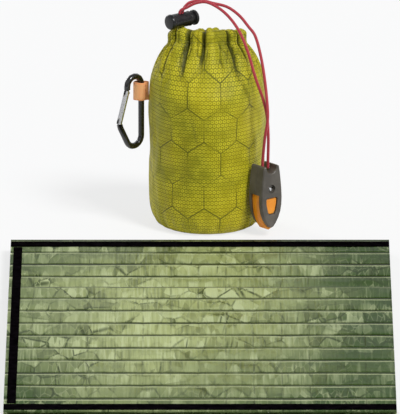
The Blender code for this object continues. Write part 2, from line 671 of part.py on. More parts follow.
gate_vector = gate_tip - gate_foot
gate_lean = math.atan2(-gate_vector.x, gate_vector.z)
TANG_HALF = ROD_DIAMETER / 2 - 0.8 * MM
tang_foot = gate_foot.z - TANG_DROP
tang_outline = [(gate_foot.x - TANG_HALF, tang_foot), (gate_foot.x + TANG_HALF, tang_foot)]
for step in range(5):
    angle = math.radians(12 + 39 * step)
    across = TANG_HALF * math.cos(angle)
    tang_outline.append((gate_foot.x + across, gate_foot.z + (TANG_HALF + 0.2 * MM) * math.sin(angle)))
cut(carabiner, "joined_hinge_tang", prism(tang_outline, -TANG / 2, TANG / 2, "Y"), "UNION")
# The nose's tongue, with the notch that the gate's pin rests in.
NOSE_DEPTH = 4.0 * MM
NOTCH_DEPTH = 1.15 * MM
notch_top = gate_tip.z - 1.55 * MM
notch_low = notch_top - 1.3 * MM
inner_face = gate_tip.x - NOSE_HALF
outer_face = gate_tip.x + NOSE_HALF
nose_outline = [(inner_face, gate_tip.z + 1.0 * MM), (inner_face, notch_top)]
nose_outline += [(inner_face + NOTCH_DEPTH, notch_top), (inner_face + NOTCH_DEPTH, notch_low)]
nose_outline.append((inner_face, notch_low - 0.43 * MM))
nose_outline += [(inner_face, gate_tip.z - NOSE_DEPTH), (outer_face, gate_tip.z - NOSE_DEPTH)]
nose_outline.append((outer_face, gate_tip.z + 1.0 * MM))
cut(carabiner, "joined_nose_tongue", prism(nose_outline, -TANG / 2, TANG / 2, "Y"), "UNION")
PIN_PLAY = 0.12 * MM
hinge_hole = round_pin(gate_foot, PIN_DIAMETER / 2 + PIN_PLAY, GATE_DIAMETER, 12)
cut(carabiner, "cutter_hinge_hole", hinge_hole)

gate_matrix = carabiner_matrix @ Matrix.Translation(gate_foot) @ Matrix.Rotation(-gate_lean, 4, "Y")
GATE_LOW = -2.1 * MM
GATE_HIGH = gate_vector.length - 0.5 * MM
gate_radius = GATE_DIAMETER / 2
gate_sections = [
    (GATE_LOW, gate_radius - 0.5 * MM), (GATE_LOW + 0.5 * MM, gate_radius),
    (GATE_HIGH - 0.4 * MM, gate_radius), (GATE_HIGH, gate_radius - 0.3 * MM),
]
gate_rings = []
for z, r in gate_sections:
    turn = np.linspace(0, 2 * math.pi, 16, endpoint=False)
    gate_rings.append([Vector((r * math.cos(a), r * math.sin(a), z)) for a in turn])
gate = add_mesh("carabiner_gate", *rings_mesh(gate_rings, True, False, True), STEEL, 40, gate_matrix)
across = GATE_DIAMETER
hinge_fork = box((-across, -FORK / 2, GATE_LOW - 2 * MM), (across, FORK / 2, TANG_HALF + 1.3 * MM))
nose_fork_low = GATE_HIGH - NOSE_DEPTH - 0.8 * MM
nose_fork = box((-across, -FORK / 2, nose_fork_low), (across, FORK / 2, GATE_HIGH + 2 * MM))
cut(gate, "cutter_gate_fork", hinge_fork)
cut(gate, "cutter_nose_fork", nose_fork)
gate_pin_hole = round_pin(Vector((0, 0, 0)), PIN_DIAMETER / 2 + PIN_PLAY, GATE_DIAMETER, 12)
cut(gate, "cutter_gate_pin_hole", gate_pin_hole)
nose_pin_place = Vector((inner_face + 0.45 * MM, 0, notch_low + 0.65 * MM))
nose_pin_at = gate_matrix.inverted() @ carabiner_matrix @ nose_pin_place
nose_pin_hole = round_pin(nose_pin_at, NOSE_PIN_DIAMETER / 2 + PIN_PLAY, GATE_DIAMETER, 12)
cut(gate, "cutter_nose_pin_hole", nose_pin_hole)
hinge_pin = round_pin(gate_foot, PIN_DIAMETER / 2, gate_radius - 0.15 * MM, 12)
add_mesh("carabiner_hinge_pin", *hinge_pin, STEEL, 40, carabiner_matrix)
nose_pin = round_pin(nose_pin_at, NOSE_PIN_DIAMETER / 2, gate_radius - 0.35 * MM, 12)
add_mesh("carabiner_nose_pin", *nose_pin, STEEL, 40, gate_matrix)

# The sleeping bag: seven sections of foil film between fold lines, each with its lengths of edge tape.
SECTION_LENGTH = BAG_LENGTH / SECTIONS
STRIP = BAG_WIDTH / STRIPS
LAYER = FILM + GAP
SECTION_HEIGHT = 3 * FILM + 2 * GAP
PITCH = SECTION_HEIGHT + GAP
BAND = TAPE_INSET + TAPE_WIDTH + TAPE_CLEAR
NEAR_FOLD = 2 * STRIP
FAR_FOLD = 5 * STRIP
FOOTPRINT = 7 * STRIP
BAG_NEAR_Y = BAG_FAR_Y - FOOTPRINT


def film_loop():
    """The closed outline of the pleated film in (y from the near edge, z)."""
    lane = PLEAT_SLOPE
    turn = PLEAT_TURN
    low, mid, top = 0.0, LAYER, 2 * LAYER
    over = top + FILM
    loop = [(0, mid), (BAND, mid), (BAND + lane, top), (FAR_FOLD, top), (FAR_FOLD, mid + FILM)]
    loop += [(NEAR_FOLD - turn, mid + FILM), (NEAR_FOLD - turn, low), (FOOTPRINT - BAND - lane, low)]
    loop += [(FOOTPRINT - BAND, mid), (FOOTPRINT, mid)]
    loop += [(FOOTPRINT, mid + FILM), (FOOTPRINT - BAND, mid + FILM), (FOOTPRINT - BAND - lane, low + FILM)]
    loop += [(NEAR_FOLD, low + FILM), (NEAR_FOLD, mid), (FAR_FOLD + turn, mid), (FAR_FOLD + turn, over)]
    loop += [(BAND + lane, over), (BAND, mid + FILM), (0, mid + FILM)]
    return loop


def placed_loop(loop, number):
    """Even sections lie face down, so their outline is turned over."""
    base = (number - 1) * PITCH
    placed = []
    for y, z in loop:
        level = z if number % 2 else SECTION_HEIGHT - z
        placed.append((BAG_NEAR_Y + y, base + level))
    return placed


x_left = BAG_CENTRE_X - SECTION_LENGTH / 2 + GAP / 2
x_right = BAG_CENTRE_X + SECTION_LENGTH / 2 - GAP / 2
tape_low = LAYER + FILM + GAP
for number in range(1, SECTIONS + 1):
    hinge_x = x_left - GAP / 2 if number % 2 == 0 else x_right + GAP / 2
    hinge_z = (number - 1) * PITCH - GAP / 2
    origin = Matrix.Translation(Vector((hinge_x, (BAG_NEAR_Y + BAG_FAR_Y) / 2, max(hinge_z, 0.0))))
    pieces = [(f"bag_film_{number}", film_loop(), FOIL, x_left, x_right)]
    for edge, start in (("near", TAPE_INSET), ("far", FOOTPRINT - TAPE_INSET - TAPE_WIDTH)):
        strip = [(start, tape_low), (start + TAPE_WIDTH, tape_low)]
        strip += [(start + TAPE_WIDTH, tape_low + FILM), (start, tape_low + FILM)]
        pieces.append((f"bag_tape_{edge}_{number}", strip, TAPE, x_left, x_right))
    if number == SECTIONS:
        foot_left = x_left + FOOT_TAPE_INSET
        near_start = BAND + PLEAT_SLOPE + TAPE_CLEAR / 2
        far_start = FAR_FOLD + PLEAT_TURN + TAPE_CLEAR
        far_stop = FOOTPRINT - BAND - PLEAT_SLOPE - TAPE_CLEAR
        near_span = ("near", near_start, FAR_FOLD - TAPE_CLEAR, 2 * LAYER)
        spans = (near_span, ("far", far_start, far_stop, 0.0))
        for part, start, stop, level in spans:
            under = level + LAYER
            strip = [(start, under), (stop, under), (stop, under + FILM), (start, under + FILM)]
            pieces.append((f"bag_tape_foot_{part}", strip, TAPE, foot_left, foot_left + FOOT_TAPE_WIDTH))
    for name, loop, material, low_x, high_x in pieces:
        points, faces = prism(placed_loop(loop, number), low_x, high_x, "X")
        obj = add_mesh(name, points, faces, material)
        obj.data.transform(origin.inverted())
        obj.matrix_world = origin

print(f"bag open: {SECTIONS * SECTION_LENGTH:.3f} x {STRIPS * STRIP:.3f} m")
print(f"drawcord in the hem: {hem_length / MM:.0f} mm")
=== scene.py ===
"""Emergency sleeping bag kit: the foil bag folded on its creases and the drawcord sack that it packs into."""

import math

import bmesh
import bpy
import numpy as np
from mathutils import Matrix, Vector, noise


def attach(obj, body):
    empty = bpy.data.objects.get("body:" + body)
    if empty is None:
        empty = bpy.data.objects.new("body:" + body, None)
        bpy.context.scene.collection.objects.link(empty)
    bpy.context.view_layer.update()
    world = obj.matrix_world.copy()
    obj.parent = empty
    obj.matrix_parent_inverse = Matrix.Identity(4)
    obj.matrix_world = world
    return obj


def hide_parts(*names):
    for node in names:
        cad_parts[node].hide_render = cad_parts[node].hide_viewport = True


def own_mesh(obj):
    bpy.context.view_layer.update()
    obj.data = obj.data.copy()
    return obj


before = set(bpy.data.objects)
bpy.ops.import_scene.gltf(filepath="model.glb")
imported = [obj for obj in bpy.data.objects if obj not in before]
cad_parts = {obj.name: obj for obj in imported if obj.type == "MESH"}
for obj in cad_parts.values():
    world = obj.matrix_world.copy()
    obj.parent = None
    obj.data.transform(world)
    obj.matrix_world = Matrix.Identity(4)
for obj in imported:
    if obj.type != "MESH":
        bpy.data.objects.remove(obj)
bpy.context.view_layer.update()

# The paper and the sky are plain white to the camera.
MM = 0.001
PHOTO_WIDE = 400
MM_PER_PIXEL = 0.81 * MM
VIEW_ELEVATION = math.radians(15.6)
VIEW_CENTRE = Vector((-5.7, 0.0, 13.3)) * MM
CAMERA_AWAY = 12.0
CAMERA_REACH = 60
SENSOR = 36.0
FLOOR_HALF = 14.0
FLOOR_DROP = 0.1 * MM
PAPER_WHITE = (0.86, 0.86, 0.86)
PAPER_GLOW = 0.72
WHITE = (1, 1, 1)
SKY_BLUE = (0.94, 0.97, 1.0)
SKY_STRENGTH = 0.4
GLOSS_STRENGTH = 0.85
GLOSS_LOW = (0.05, (0.30, 0.30, 0.30, 1))
GLOSS_MIDDLE = (0.5, (1, 1, 1, 1))
GLOSS_HIGH = (0.85, (0.42, 0.43, 0.44, 1))

camera_data = bpy.data.cameras.new("photo_camera")
camera_data.sensor_fit = "HORIZONTAL"
camera_data.sensor_width = SENSOR
camera_data.lens = SENSOR * CAMERA_AWAY / (PHOTO_WIDE * MM_PER_PIXEL)
camera_data.clip_end = CAMERA_REACH
photo_camera = bpy.data.objects.new("photo_camera", camera_data)
bpy.context.scene.collection.objects.link(photo_camera)
towards_camera = Vector((0, -math.cos(VIEW_ELEVATION), math.sin(VIEW_ELEVATION)))
photo_camera.location = VIEW_CENTRE + towards_camera * CAMERA_AWAY
photo_camera.rotation_euler = (math.pi / 2 - VIEW_ELEVATION, 0, 0)
bpy.context.scene.camera = photo_camera
bpy.context.scene.view_settings.view_transform = "Standard"


def add_sun(name, strength, place, aim, spread):
    """A soft sun that shines from a place towards an aim; its disc is the spread wide, in degrees."""
    data = bpy.data.lights.new(name, "SUN")
    data.energy = strength
    data.angle = math.radians(spread)
    sun = bpy.data.objects.new(name, data)
    sun.location = place
    sun.rotation_mode = "QUATERNION"
    sun.rotation_quaternion = (Vector(place) - Vector(aim)).to_track_quat("Z", "Y")
    bpy.context.scene.collection.objects.link(sun)


add_sun("key_light", strength=2.2, place=(1.1, -1.6, 1.9), aim=(0, -0.2, 0), spread=16)
add_sun("raking_light", strength=0.75, place=(-1.6, 1.6, 0.95), aim=(0, -0.3, 0), spread=9)


class Nodes:
    """A short way to lay out the nodes of a material, a node group or the world."""

    def __init__(self, tree):
        self.tree = tree

    def add(self, kind, operation=None):
        node = self.tree.nodes.new("ShaderNode" + kind)
        if operation:
            node.operation = operation
        return node

    def put(self, node, name, value):
        """Link or set an input, found by its name or its number."""
        place = node.inputs[int(name)] if name.isdigit() else node.inputs[name]
        if isinstance(value, bpy.types.NodeSocket):
            self.tree.links.new(value, place)
        else:
            place.default_value = (*value, 1) if place.type == "RGBA" else value

    def fill(self, node, *values):
        """Link or set the node's first inputs in turn."""
        for number, value in enumerate(values):
            self.put(node, str(number), value)
        return node

    def maths(self, operation, a, b=None):
        values = (a,) if b is None else (a, b)
        return self.fill(self.add("Math", operation), *values).outputs[0]

    def times(self, a, b):
        return self.maths("MULTIPLY", a, b)

    def over(self, a, b):
        return self.maths("DIVIDE", a, b)

    def plus(self, a, b):
        return self.maths("ADD", a, b)

    def minus(self, a, b):
        return self.maths("SUBTRACT", a, b)

    def absolute(self, value):
        return self.maths("ABSOLUTE", value)

    def total(self, first, *others):
        """A value with others added to it, each times its own weight."""
        for value, weight in others:
            first = self.plus(first, self.times(value, weight))
        return first

    def vector(self, operation, a, b):
        node = self.fill(self.add("VectorMath", operation), a, b)
        return node.outputs["Value" if operation == "DOT_PRODUCT" else "Vector"]

    def parts(self, vector):
        return self.fill(self.add("SeparateXYZ"), vector).outputs

    def mix(self, share, first, second):
        """A colour between two colours."""
        node = self.add("Mix")
        node.data_type = "RGBA"
        for name, value in (("0", share), ("6", first), ("7", second)):
            self.put(node, name, value)
        return node.outputs[2]

    def coated(self, colour, *coats):
        """A colour with others laid over it, each by its own share."""
        for share, coat in coats:
            colour = self.mix(share, colour, coat)
        return colour

    def either(self, share, first, second):
        """A mixture of two shaders."""
        return self.fill(self.add("MixShader"), share, first, second).outputs[0]

    def span(self, value, low, high, to_low=0.0, to_high=1.0):
        """The value's place between low and high, as a place between two other values."""
        node = self.add("MapRange")
        node.clamp = True
        return self.fill(node, value, low, high, to_low, to_high).outputs[0]

    def noise(self, vector, scale, detail=2.0, roughness=0.5):
        node = self.add("TexNoise")
        self.put(node, "Vector", vector)
        self.put(node, "Scale", scale)
        self.put(node, "Detail", detail)
        self.put(node, "Roughness", roughness)
        return node.outputs["Fac"]

    def on_object(self):
        """The place on the piece itself, in metres."""
        return self.add("TexCoord").outputs["Object"]

    def place(self, group, **values):
        """A node group placed in the material, with its own values."""
        node = self.add("Group")
        node.node_tree = group
        for name, value in values.items():
            self.put(node, name.replace("_", " "), value)
        return node


def new_material(name, colour, roughness, metallic=0.0, **sockets):
    """A Principled material, its layout helper and its shader."""
    made = bpy.data.materials.new(name)
    made.use_nodes = True
    layout = Nodes(made.node_tree)
    shader = made.node_tree.nodes["Principled BSDF"]
    shader.inputs["Base Color"].default_value = (*colour, 1)
    shader.inputs["Roughness"].default_value = roughness
    shader.inputs["Metallic"].default_value = metallic
    for label, value in sockets.items():
        shader.inputs[label.replace("_", " ")].default_value = value
    return made, layout, shader


world = bpy.data.worlds.new("studio_world")
world.use_nodes = True
bpy.context.scene.world = world
sky = Nodes(world.node_tree)
sky.tree.nodes.clear()


def sky_light(colour, strength):
    return sky.fill(sky.add("Background"), colour, strength).outputs[0]


# Gloss mirrors a sky that is bright half way up, and dimmer at the horizon and overhead.
gloss_ramp = sky.fill(sky.add("ValToRGB"), sky.parts(sky.add("TexCoord").outputs["Generated"])["Z"])
stops = gloss_ramp.color_ramp.elements
stops[0].position, stops[0].color = GLOSS_LOW
stops[1].position, stops[1].color = GLOSS_HIGH
stops.new(GLOSS_MIDDLE[0]).color = GLOSS_MIDDLE[1]
ray = sky.add("LightPath").outputs
soft_sky = sky_light(SKY_BLUE, SKY_STRENGTH)
gloss_sky = sky_light(gloss_ramp.outputs["Color"], GLOSS_STRENGTH)
kit_sky = sky.either(ray["Is Glossy Ray"], soft_sky, gloss_sky)
camera_sees = sky.maths("MAXIMUM", ray["Is Camera Ray"], ray["Is Transmission Ray"])
sky.put(sky.add("OutputWorld"), "Surface", sky.either(camera_sees, kit_sky, sky_light(WHITE, 1.0)))

floor_mesh = bpy.data.meshes.new("floor")
floor_corners = [(-FLOOR_HALF, -FLOOR_HALF, 0), (FLOOR_HALF, -FLOOR_HALF, 0)]
floor_corners += [(FLOOR_HALF, FLOOR_HALF, 0), (-FLOOR_HALF, FLOOR_HALF, 0)]
floor_mesh.from_pydata(floor_corners, [], [(0, 1, 2, 3)])
floor = bpy.data.objects.new("floor", floor_mesh)
floor.location.z = -FLOOR_DROP
bpy.context.scene.collection.objects.link(floor)
paper, layout, shader = new_material("floor_paper", PAPER_WHITE, 0.9, Specular_IOR_Level=0.0)
glow = layout.add("Emission")
layout.put(glow, "Strength", 1.0)
glow_share = layout.times(layout.add("LightPath").outputs["Is Camera Ray"], PAPER_GLOW)
paper_seen = layout.either(glow_share, shader.outputs[0], glow.outputs[0])
layout.put(paper.node_tree.nodes["Material Output"], "Surface", paper_seen)
floor_mesh.materials.append(paper)


# The drawcord: one red braided cord, 2.4 mm thick. It runs inside the sack's hem, and its two ends come up
# through the cord lock side by side, arch over the mouth and hang down the right side to the whistle. Each
# route is the one that the solid follows.
CORD_DIAMETER = 2.4 * MM
BRAID_PITCH = 2.6 * MM
BRAID_YARNS = 4
BRAID_HEIGHT = 0.25 * MM
CORD_GAP_SHADE = (0.16, 0.006, 0.014)
CORD_RED = (0.60, 0.035, 0.06)
CORD_FLECK = (0.74, 0.13, 0.15)
LOCK_CENTRE = Vector((-20.699, -7.999, 172.2)) * MM
LOCK_YAW = math.radians(40)
LOCK_AXIS = Vector((math.cos(LOCK_YAW), math.sin(LOCK_YAW), 0))
STRAND_APART = 1.35 * MM
STRAND_LOW = 164.7 * MM
STRAND_HIGH = 179.6 * MM
HINGE = Vector((47.003, -36.999, 58.5)) * MM
WHISTLE_YAW = math.radians(39.4)
FACE_X = Vector((math.cos(WHISTLE_YAW), math.sin(WHISTLE_YAW), 0))
STRAND_IN_NOTCH = 2.8 * MM
STRAND_SINK = 2.9 * MM
STRAND_STRAIGHT = 7 * MM
CURVE_STEPS = 24
ROUND_END = 0.55


def new_group(name, inputs, outputs):
    """A shader node group with named sockets: its layout helper, its inputs and its output node."""
    tree = bpy.data.node_groups.new(name, "ShaderNodeTree")
    for label, value in inputs.items():
        kind = "NodeSocketVector" if isinstance(value, tuple) else "NodeSocketFloat"
        tree.interface.new_socket(label, in_out="INPUT", socket_type=kind).default_value = value
    for label in outputs:
        tree.interface.new_socket(label, in_out="OUTPUT", socket_type="NodeSocketFloat")
    enter = tree.nodes.new("NodeGroupInput")
    leave = tree.nodes.new("NodeGroupOutput")
    return Nodes(tree), enter.outputs, leave


def add_bump(layout, shader, height, distance, strength=1.0):
    """Fine relief as a bump: the height's full range stands for the distance."""
    bump = layout.add("Bump")
    layout.put(bump, "Strength", strength)
    layout.put(bump, "Distance", distance)
    layout.put(bump, "Height", height)
    layout.put(shader, "Normal", bump.outputs["Normal"])


def smooth_path(points, count):
    """Points evenly spaced on a smooth curve through the chosen points, and its length."""
    fixed = [Vector(p) for p in points]
    fixed = [2 * fixed[0] - fixed[1]] + fixed + [2 * fixed[-1] - fixed[-2]]
    dense = []
    for i in range(1, len(fixed) - 2):
        p0, p1, p2, p3 = fixed[i - 1 : i + 3]
        for j in range(CURVE_STEPS):
            t = j / CURVE_STEPS
            first = 2 * p1 + (p2 - p0) * t
            second = (2 * p0 - 5 * p1 + 4 * p2 - p3) * t * t
            dense.append(0.5 * (first + second + (3 * p1 - p0 - 3 * p2 + p3) * t**3))
    dense.append(fixed[-2])
    along = [0.0]
    for a, b in zip(dense, dense[1:]):
        along.append(along[-1] + (b - a).length)
    table = np.array([tuple(p) for p in dense])
    wanted = np.linspace(0, along[-1], count)
    columns = [np.interp(wanted, along, table[:, axis]) for axis in range(3)]
    return [Vector(p) for p in zip(*columns)], along[-1]


def add_object(name, points, faces, material, uvs=None):
    """A smooth mesh object; uvs gives each point's place in the cloth, in metres."""
    mesh = bpy.data.meshes.new(name)
    mesh.from_pydata([tuple(p) for p in points], [], faces)
    if uvs is not None:
        layer = mesh.uv_layers.new(name="cloth")
        for loop in mesh.loops:
            layer.data[loop.index].uv = uvs[loop.vertex_index]
    mesh.shade_smooth()
    mesh.materials.append(material)
    obj = bpy.data.objects.new(name, mesh)
    bpy.context.scene.collection.objects.link(obj)
    return obj


def grid_faces(rows, columns):
    """Four-sided faces over rows of points that lie one after another."""
    faces = []
    for i in range(rows - 1):
        for j in range(columns - 1):
            a = i * columns + j
            faces.append((a, a + 1, a + columns + 1, a + columns))
    return faces


def tube(name, path, radius, sides, material, round_ends=False):
    """A round tube along a path, with its length along U and its girth along V, in metres."""
    tangents = []
    for i in range(len(path)):
        tangents.append((path[min(i + 1, len(path) - 1)] - path[max(i - 1, 0)]).normalized())
    side = tangents[0].orthogonal().normalized()
    points = []
    uvs = []
    travelled = 0.0
    for i, (point, tangent) in enumerate(zip(path, tangents)):
        if i:
            travelled += (point - path[i - 1]).length
        side = (side - tangent * side.dot(tangent)).normalized()
        other = tangent.cross(side)
        # The last place round the tube repeats the first, so that V doesn't run back.
        for j in range(sides + 1):
            angle = 2 * math.pi * j / sides
            points.append(point + radius * (math.cos(angle) * side + math.sin(angle) * other))
            uvs.append((travelled, 2 * math.pi * radius * j / sides))
    row = sides + 1
    faces = grid_faces(len(path), row)
    for ring, tangent, centre in ((0, -tangents[0], path[0]), (len(path) - 1, tangents[-1], path[-1])):
        reach = radius * ROUND_END if round_ends else 0.0
        points.append(centre + tangent * reach)
        uvs.append((0, 0))
        tip = len(points) - 1
        for j in range(sides):
            a = ring * row + j
            faces.append((a, a + 1, tip) if ring else (a + 1, a, tip))
    return add_object(name, points, faces, material, uvs)


def cloth_places(layout):
    """Places in the cloth: both ways together, and each by itself."""
    node = layout.add("UVMap")
    node.uv_map = "cloth"
    parts = layout.parts(node.outputs["UV"])
    return node.outputs["UV"], parts["X"], parts["Y"]


# Two families of yarn that cross over each other round a cord.
braid, braid_in, braid_out = new_group(
    "braid_pattern", {"Along": 0.0, "Around": 0.0, "Pitch": 3 * MM}, ["Height"]
)
turns = braid.over(braid_in["Along"], braid_in["Pitch"])
round_share = braid.over(braid_in["Around"], math.pi * CORD_DIAMETER / BRAID_YARNS)
yarns = []
for direction in ("ADD", "SUBTRACT"):
    crossing = braid.maths(direction, braid.times(turns, 2.0), round_share)
    phase = braid.times(crossing, math.pi)
    yarns.append(braid.absolute(braid.maths("SINE", phase)))
braid.put(braid_out, "Height", braid.maths("MAXIMUM", yarns[0], yarns[1]))

cord_red, layout, shader = new_material(
    "cord_red_braid", (0.5, 0.03, 0.05), 0.55, Sheen_Weight=0.35, Sheen_Roughness=0.4
)
cloth_uv, along, around = cloth_places(layout)
yarn = layout.place(braid.tree, Along=along, Around=around, Pitch=BRAID_PITCH)
speckle = layout.noise(cloth_uv, 900, 2)
# The braid is darkest in the hollows between the yarns: painted shade; the lighter flecks are the yarn's own
# colour.
red = layout.coated(
    CORD_GAP_SHADE,
    (layout.span(yarn.outputs["Height"], 0.55, 1.0), CORD_RED),
    (layout.times(layout.span(speckle, 0.5, 0.75), 0.45), CORD_FLECK),
)
layout.put(shader, "Base Color", red)
add_bump(layout, shader, yarn.outputs["Height"], BRAID_HEIGHT, 0.9)

INNER_WAY = [
    (-15.8, -10.2, 183.5), (-9.3, -11.6, 187.1), (-1.6, -13.8, 188.7), (5.7, -17.0, 186.8),
    (13.8, -22.0, 182.3), (21.1, -28.0, 175.6), (27.5, -34.0, 166.4), (33.2, -39.5, 152.8),
    (38.9, -42.5, 133.4), (45.0, -41.0, 115.3), (48.4, -39.8, 99.8), (49.4, -38.5, 81.7),
]
OUTER_WAY = [
    (-15.4, -6.6, 185.5), (-9.7, -6.8, 187.6), (-2.8, -7.5, 188.1), (4.1, -9.0, 186.6),
    (16.2, -12.0, 184.1), (25.9, -17.0, 178.3), (33.2, -22.0, 170.5), (38.9, -27.0, 163.5),
    (43.3, -33.0, 148.4), (46.2, -38.0, 132.1), (48.4, -44.0, 112.8), (48.8, -45.5, 98.9),
    (46.6, -44.5, 83.4),
]
strand_end = HINGE - Vector((0, 0, STRAND_SINK))
strand_plan = (
    ("cord_strand_inner", -STRAND_APART, INNER_WAY, STRAND_IN_NOTCH),
    ("cord_strand_outer", STRAND_APART, OUTER_WAY, -STRAND_IN_NOTCH),
)
for node, foot_offset, way, end_offset in strand_plan:
    foot = LOCK_CENTRE + LOCK_AXIS * foot_offset
    start = Vector((foot.x, foot.y, STRAND_LOW))
    above = Vector((foot.x, foot.y, STRAND_HIGH))
    end = strand_end + FACE_X * end_offset
    chosen = [start, (start + above) / 2, above] + [Vector(p) * MM for p in way]
    chosen += [end + Vector((0, 0, STRAND_STRAIGHT)), end]
    strand_path, strand_length = smooth_path(chosen, 180)
    strand = tube(node + "_braid", strand_path, CORD_DIAMETER / 2, 16, cord_red)
    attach(strand, "sack")
    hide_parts(node)


# The stuff sack: one piece of yellow-green ripstop with hexagons woven into it, sewn to a round base panel.
# The top edge is folded inwards over the drawcord and stitched down. The cord draws it up, so the cloth
# gathers in pleats.
SACK_RADIUS = 47 * MM
BASE_RADIUS = 31 * MM
SACK_HEIGHT = 162.4 * MM
HEM_DROP = 10.4 * MM
HEM_MIDDLE = 27 * MM
CHANNEL_HALF = 4.35 * MM
FOOT_CURVE = 32 * MM
FOOT_POWER = 1.4
SHOULDER = 41 * MM
SHOULDER_POWER = 2.3
MOUTH_OVAL = 0.5
WALL_TOP = SACK_HEIGHT - HEM_DROP
HEM_BLEND_LOW = 6 * MM
HEM_BLEND_HIGH = 4 * MM
OVAL_BLEND = 14 * MM
HEM_TAIL = 1.0 * MM
CLOTH_THICKNESS = 0.35 * MM
LOCK_ANGLE = math.radians(-142.3)
LOCK_LIFT = 2.2 * MM
LOCK_LIFT_WIDE = 0.28
RIM_WAVE = 0.7 * MM
RIM_TILT = 3.0 * MM
AROUND = 504
UP = 132


def smoothstep(low, high, value):
    t = min(max((value - low) / (high - low), 0.0), 1.0)
    return t * t * (3 - 2 * t)


def cloth_outline():
    """Radius and height of the cloth from the base seam up the side, over the shoulder and round the hem."""
    outline = []
    for step in range(9):
        angle = math.radians(90 * step / 8)
        rise = (1 - math.cos(angle)) ** FOOT_POWER
        outline.append((BASE_RADIUS + (SACK_RADIUS - BASE_RADIUS) * math.sin(angle), FOOT_CURVE * rise))
    for step in range(1, 10):
        outline.append((SACK_RADIUS, FOOT_CURVE + (WALL_TOP - SHOULDER - FOOT_CURVE) * step / 10))
    mouth = HEM_MIDDLE + CHANNEL_HALF
    for step in range(13):
        share = step / 12
        drawn_in = (SACK_RADIUS - mouth) * share**SHOULDER_POWER
        outline.append((SACK_RADIUS - drawn_in, WALL_TOP - SHOULDER * (1 - share)))
    side = SACK_HEIGHT - CHANNEL_HALF
    for step in range(13):
        angle = math.pi * step / 12
        outline.append((HEM_MIDDLE + CHANNEL_HALF * math.cos(angle), side + CHANNEL_HALF * math.sin(angle)))
    outline.append((HEM_MIDDLE - CHANNEL_HALF, WALL_TOP + HEM_TAIL))
    return outline


# The pleats: fourteen, unevenly spaced, and each with its own depth, length and lean. Lengths are in metres
# and leans in turns of a pleat for each LEAN_RUN down the cloth.
PLEATS = 14
PLEAT_DEPTH = 2.1 * MM
HEM_PLEAT_LOSS = 0.75 * MM
PLEAT_WANDER = ((0.6, 2, 0.0), (1.0, 3, 1.2), (0.6, 7, 0.0))
LEAN_RUN = 10 * MM
RIDGE_HIGH = 0.8
VALLEY_DEEP = 2.4
VALLEY_POWER = 9
SMALL_DEEP = 0.9
SMALL_POWER = 5
pleat_random = np.random.default_rng(11)
pleat_strength = pleat_random.uniform(0.45, 1.5, PLEATS)
pleat_start = pleat_random.uniform(13 * MM, 48 * MM, PLEATS)
pleat_lean = pleat_random.uniform(-0.30, 0.30, PLEATS)


def pleat_fold(angle, height):
    """How far the cloth stands out at a pleat: round ridges and narrow valleys, each on its own way."""
    down = max(WALL_TOP - height, 0.0)
    phase = PLEATS * angle
    for reach, times, offset in PLEAT_WANDER:
        phase += reach * math.sin(times * angle + offset)
    share = (phase / (2 * math.pi)) % 1.0
    number = int(math.floor((phase / (2 * math.pi)) % PLEATS))
    following = (number + 1) % PLEATS
    before = (number - 1) % PLEATS
    near = smoothstep(0.5, 1.0, share) * 0.5
    far = smoothstep(0.5, 0.0, share) * 0.5
    values = []
    for table in (pleat_strength, pleat_start, pleat_lean):
        values.append(table[number] * (1 - near - far) + table[following] * near + table[before] * far)
    strength, start, lean = values
    phase += lean * down / LEAN_RUN
    valley = (0.5 - 0.5 * math.cos(phase)) ** VALLEY_POWER
    ridge = 0.5 + 0.5 * math.cos(phase)
    small = (0.5 - 0.5 * math.cos(2.6 * phase + 1.4)) ** SMALL_POWER
    fade = smoothstep(start, 0.0, down)
    return strength * fade * (RIDGE_HIGH * ridge - VALLEY_DEEP * valley - SMALL_DEEP * small * fade)


def sack_shares(height):
    """At a height: how far the cloth is gathered, how far it is hem, and how far it is the free side."""
    gathered = smoothstep(WALL_TOP - SHOULDER, WALL_TOP, height)
    at_hem = smoothstep(WALL_TOP - HEM_BLEND_LOW, WALL_TOP + HEM_BLEND_HIGH, height)
    return gathered, at_hem, math.sin(math.pi * min(height / WALL_TOP, 1.0))


# The creases that packing leaves in the side. A kind is its depth in millimetres, its width in shares of the
# noise, how often it comes round the sack, its place in the noise, its length and its slant.
LONG_CREASE = (0.4, 0.16, 2.6, (3, 1), 120 * MM, 0.0)
SHORT_CREASE = (1.3, 0.09, 5.2, (9, 4), 30 * MM, 2.2)
FAN_CREASE = (1.9, 0.11, 4.0, (2, 7), 16 * MM, -3.4)
SHORT_ON_SIDE = 0.08
FRONT_FOLD_ANGLE = math.radians(248)
FRONT_FOLD_WIDE = 0.24


def crease_depth(kind, angle, height):
    """How deep one kind of crease is at a place on the side."""
    deep, wide, often, start, long, slant = kind
    around = Vector((math.cos(angle), math.sin(angle), 0))
    place = around * often + Vector((*start, height / long + slant * angle))
    return deep * max(0.0, 1 - abs(noise.noise(place)) / wide) ** 2


def cloth_crease(angle, height):
    """How deep the creases are: long soft ones down the side, short slanting ones at the mouth and foot."""
    gathered, at_hem, body = sack_shares(height)
    depth = crease_depth(LONG_CREASE, angle, height) * body
    depth += crease_depth(SHORT_CREASE, angle, height) * (SHORT_ON_SIDE + gathered) * (1 - at_hem)
    depth += crease_depth(FAN_CREASE, angle, height) * gathered * (1 - at_hem)
    # One long soft fold runs down the front, left of its middle.
    front = (angle - FRONT_FOLD_ANGLE) / FRONT_FOLD_WIDE
    return depth + math.exp(-front * front) * body


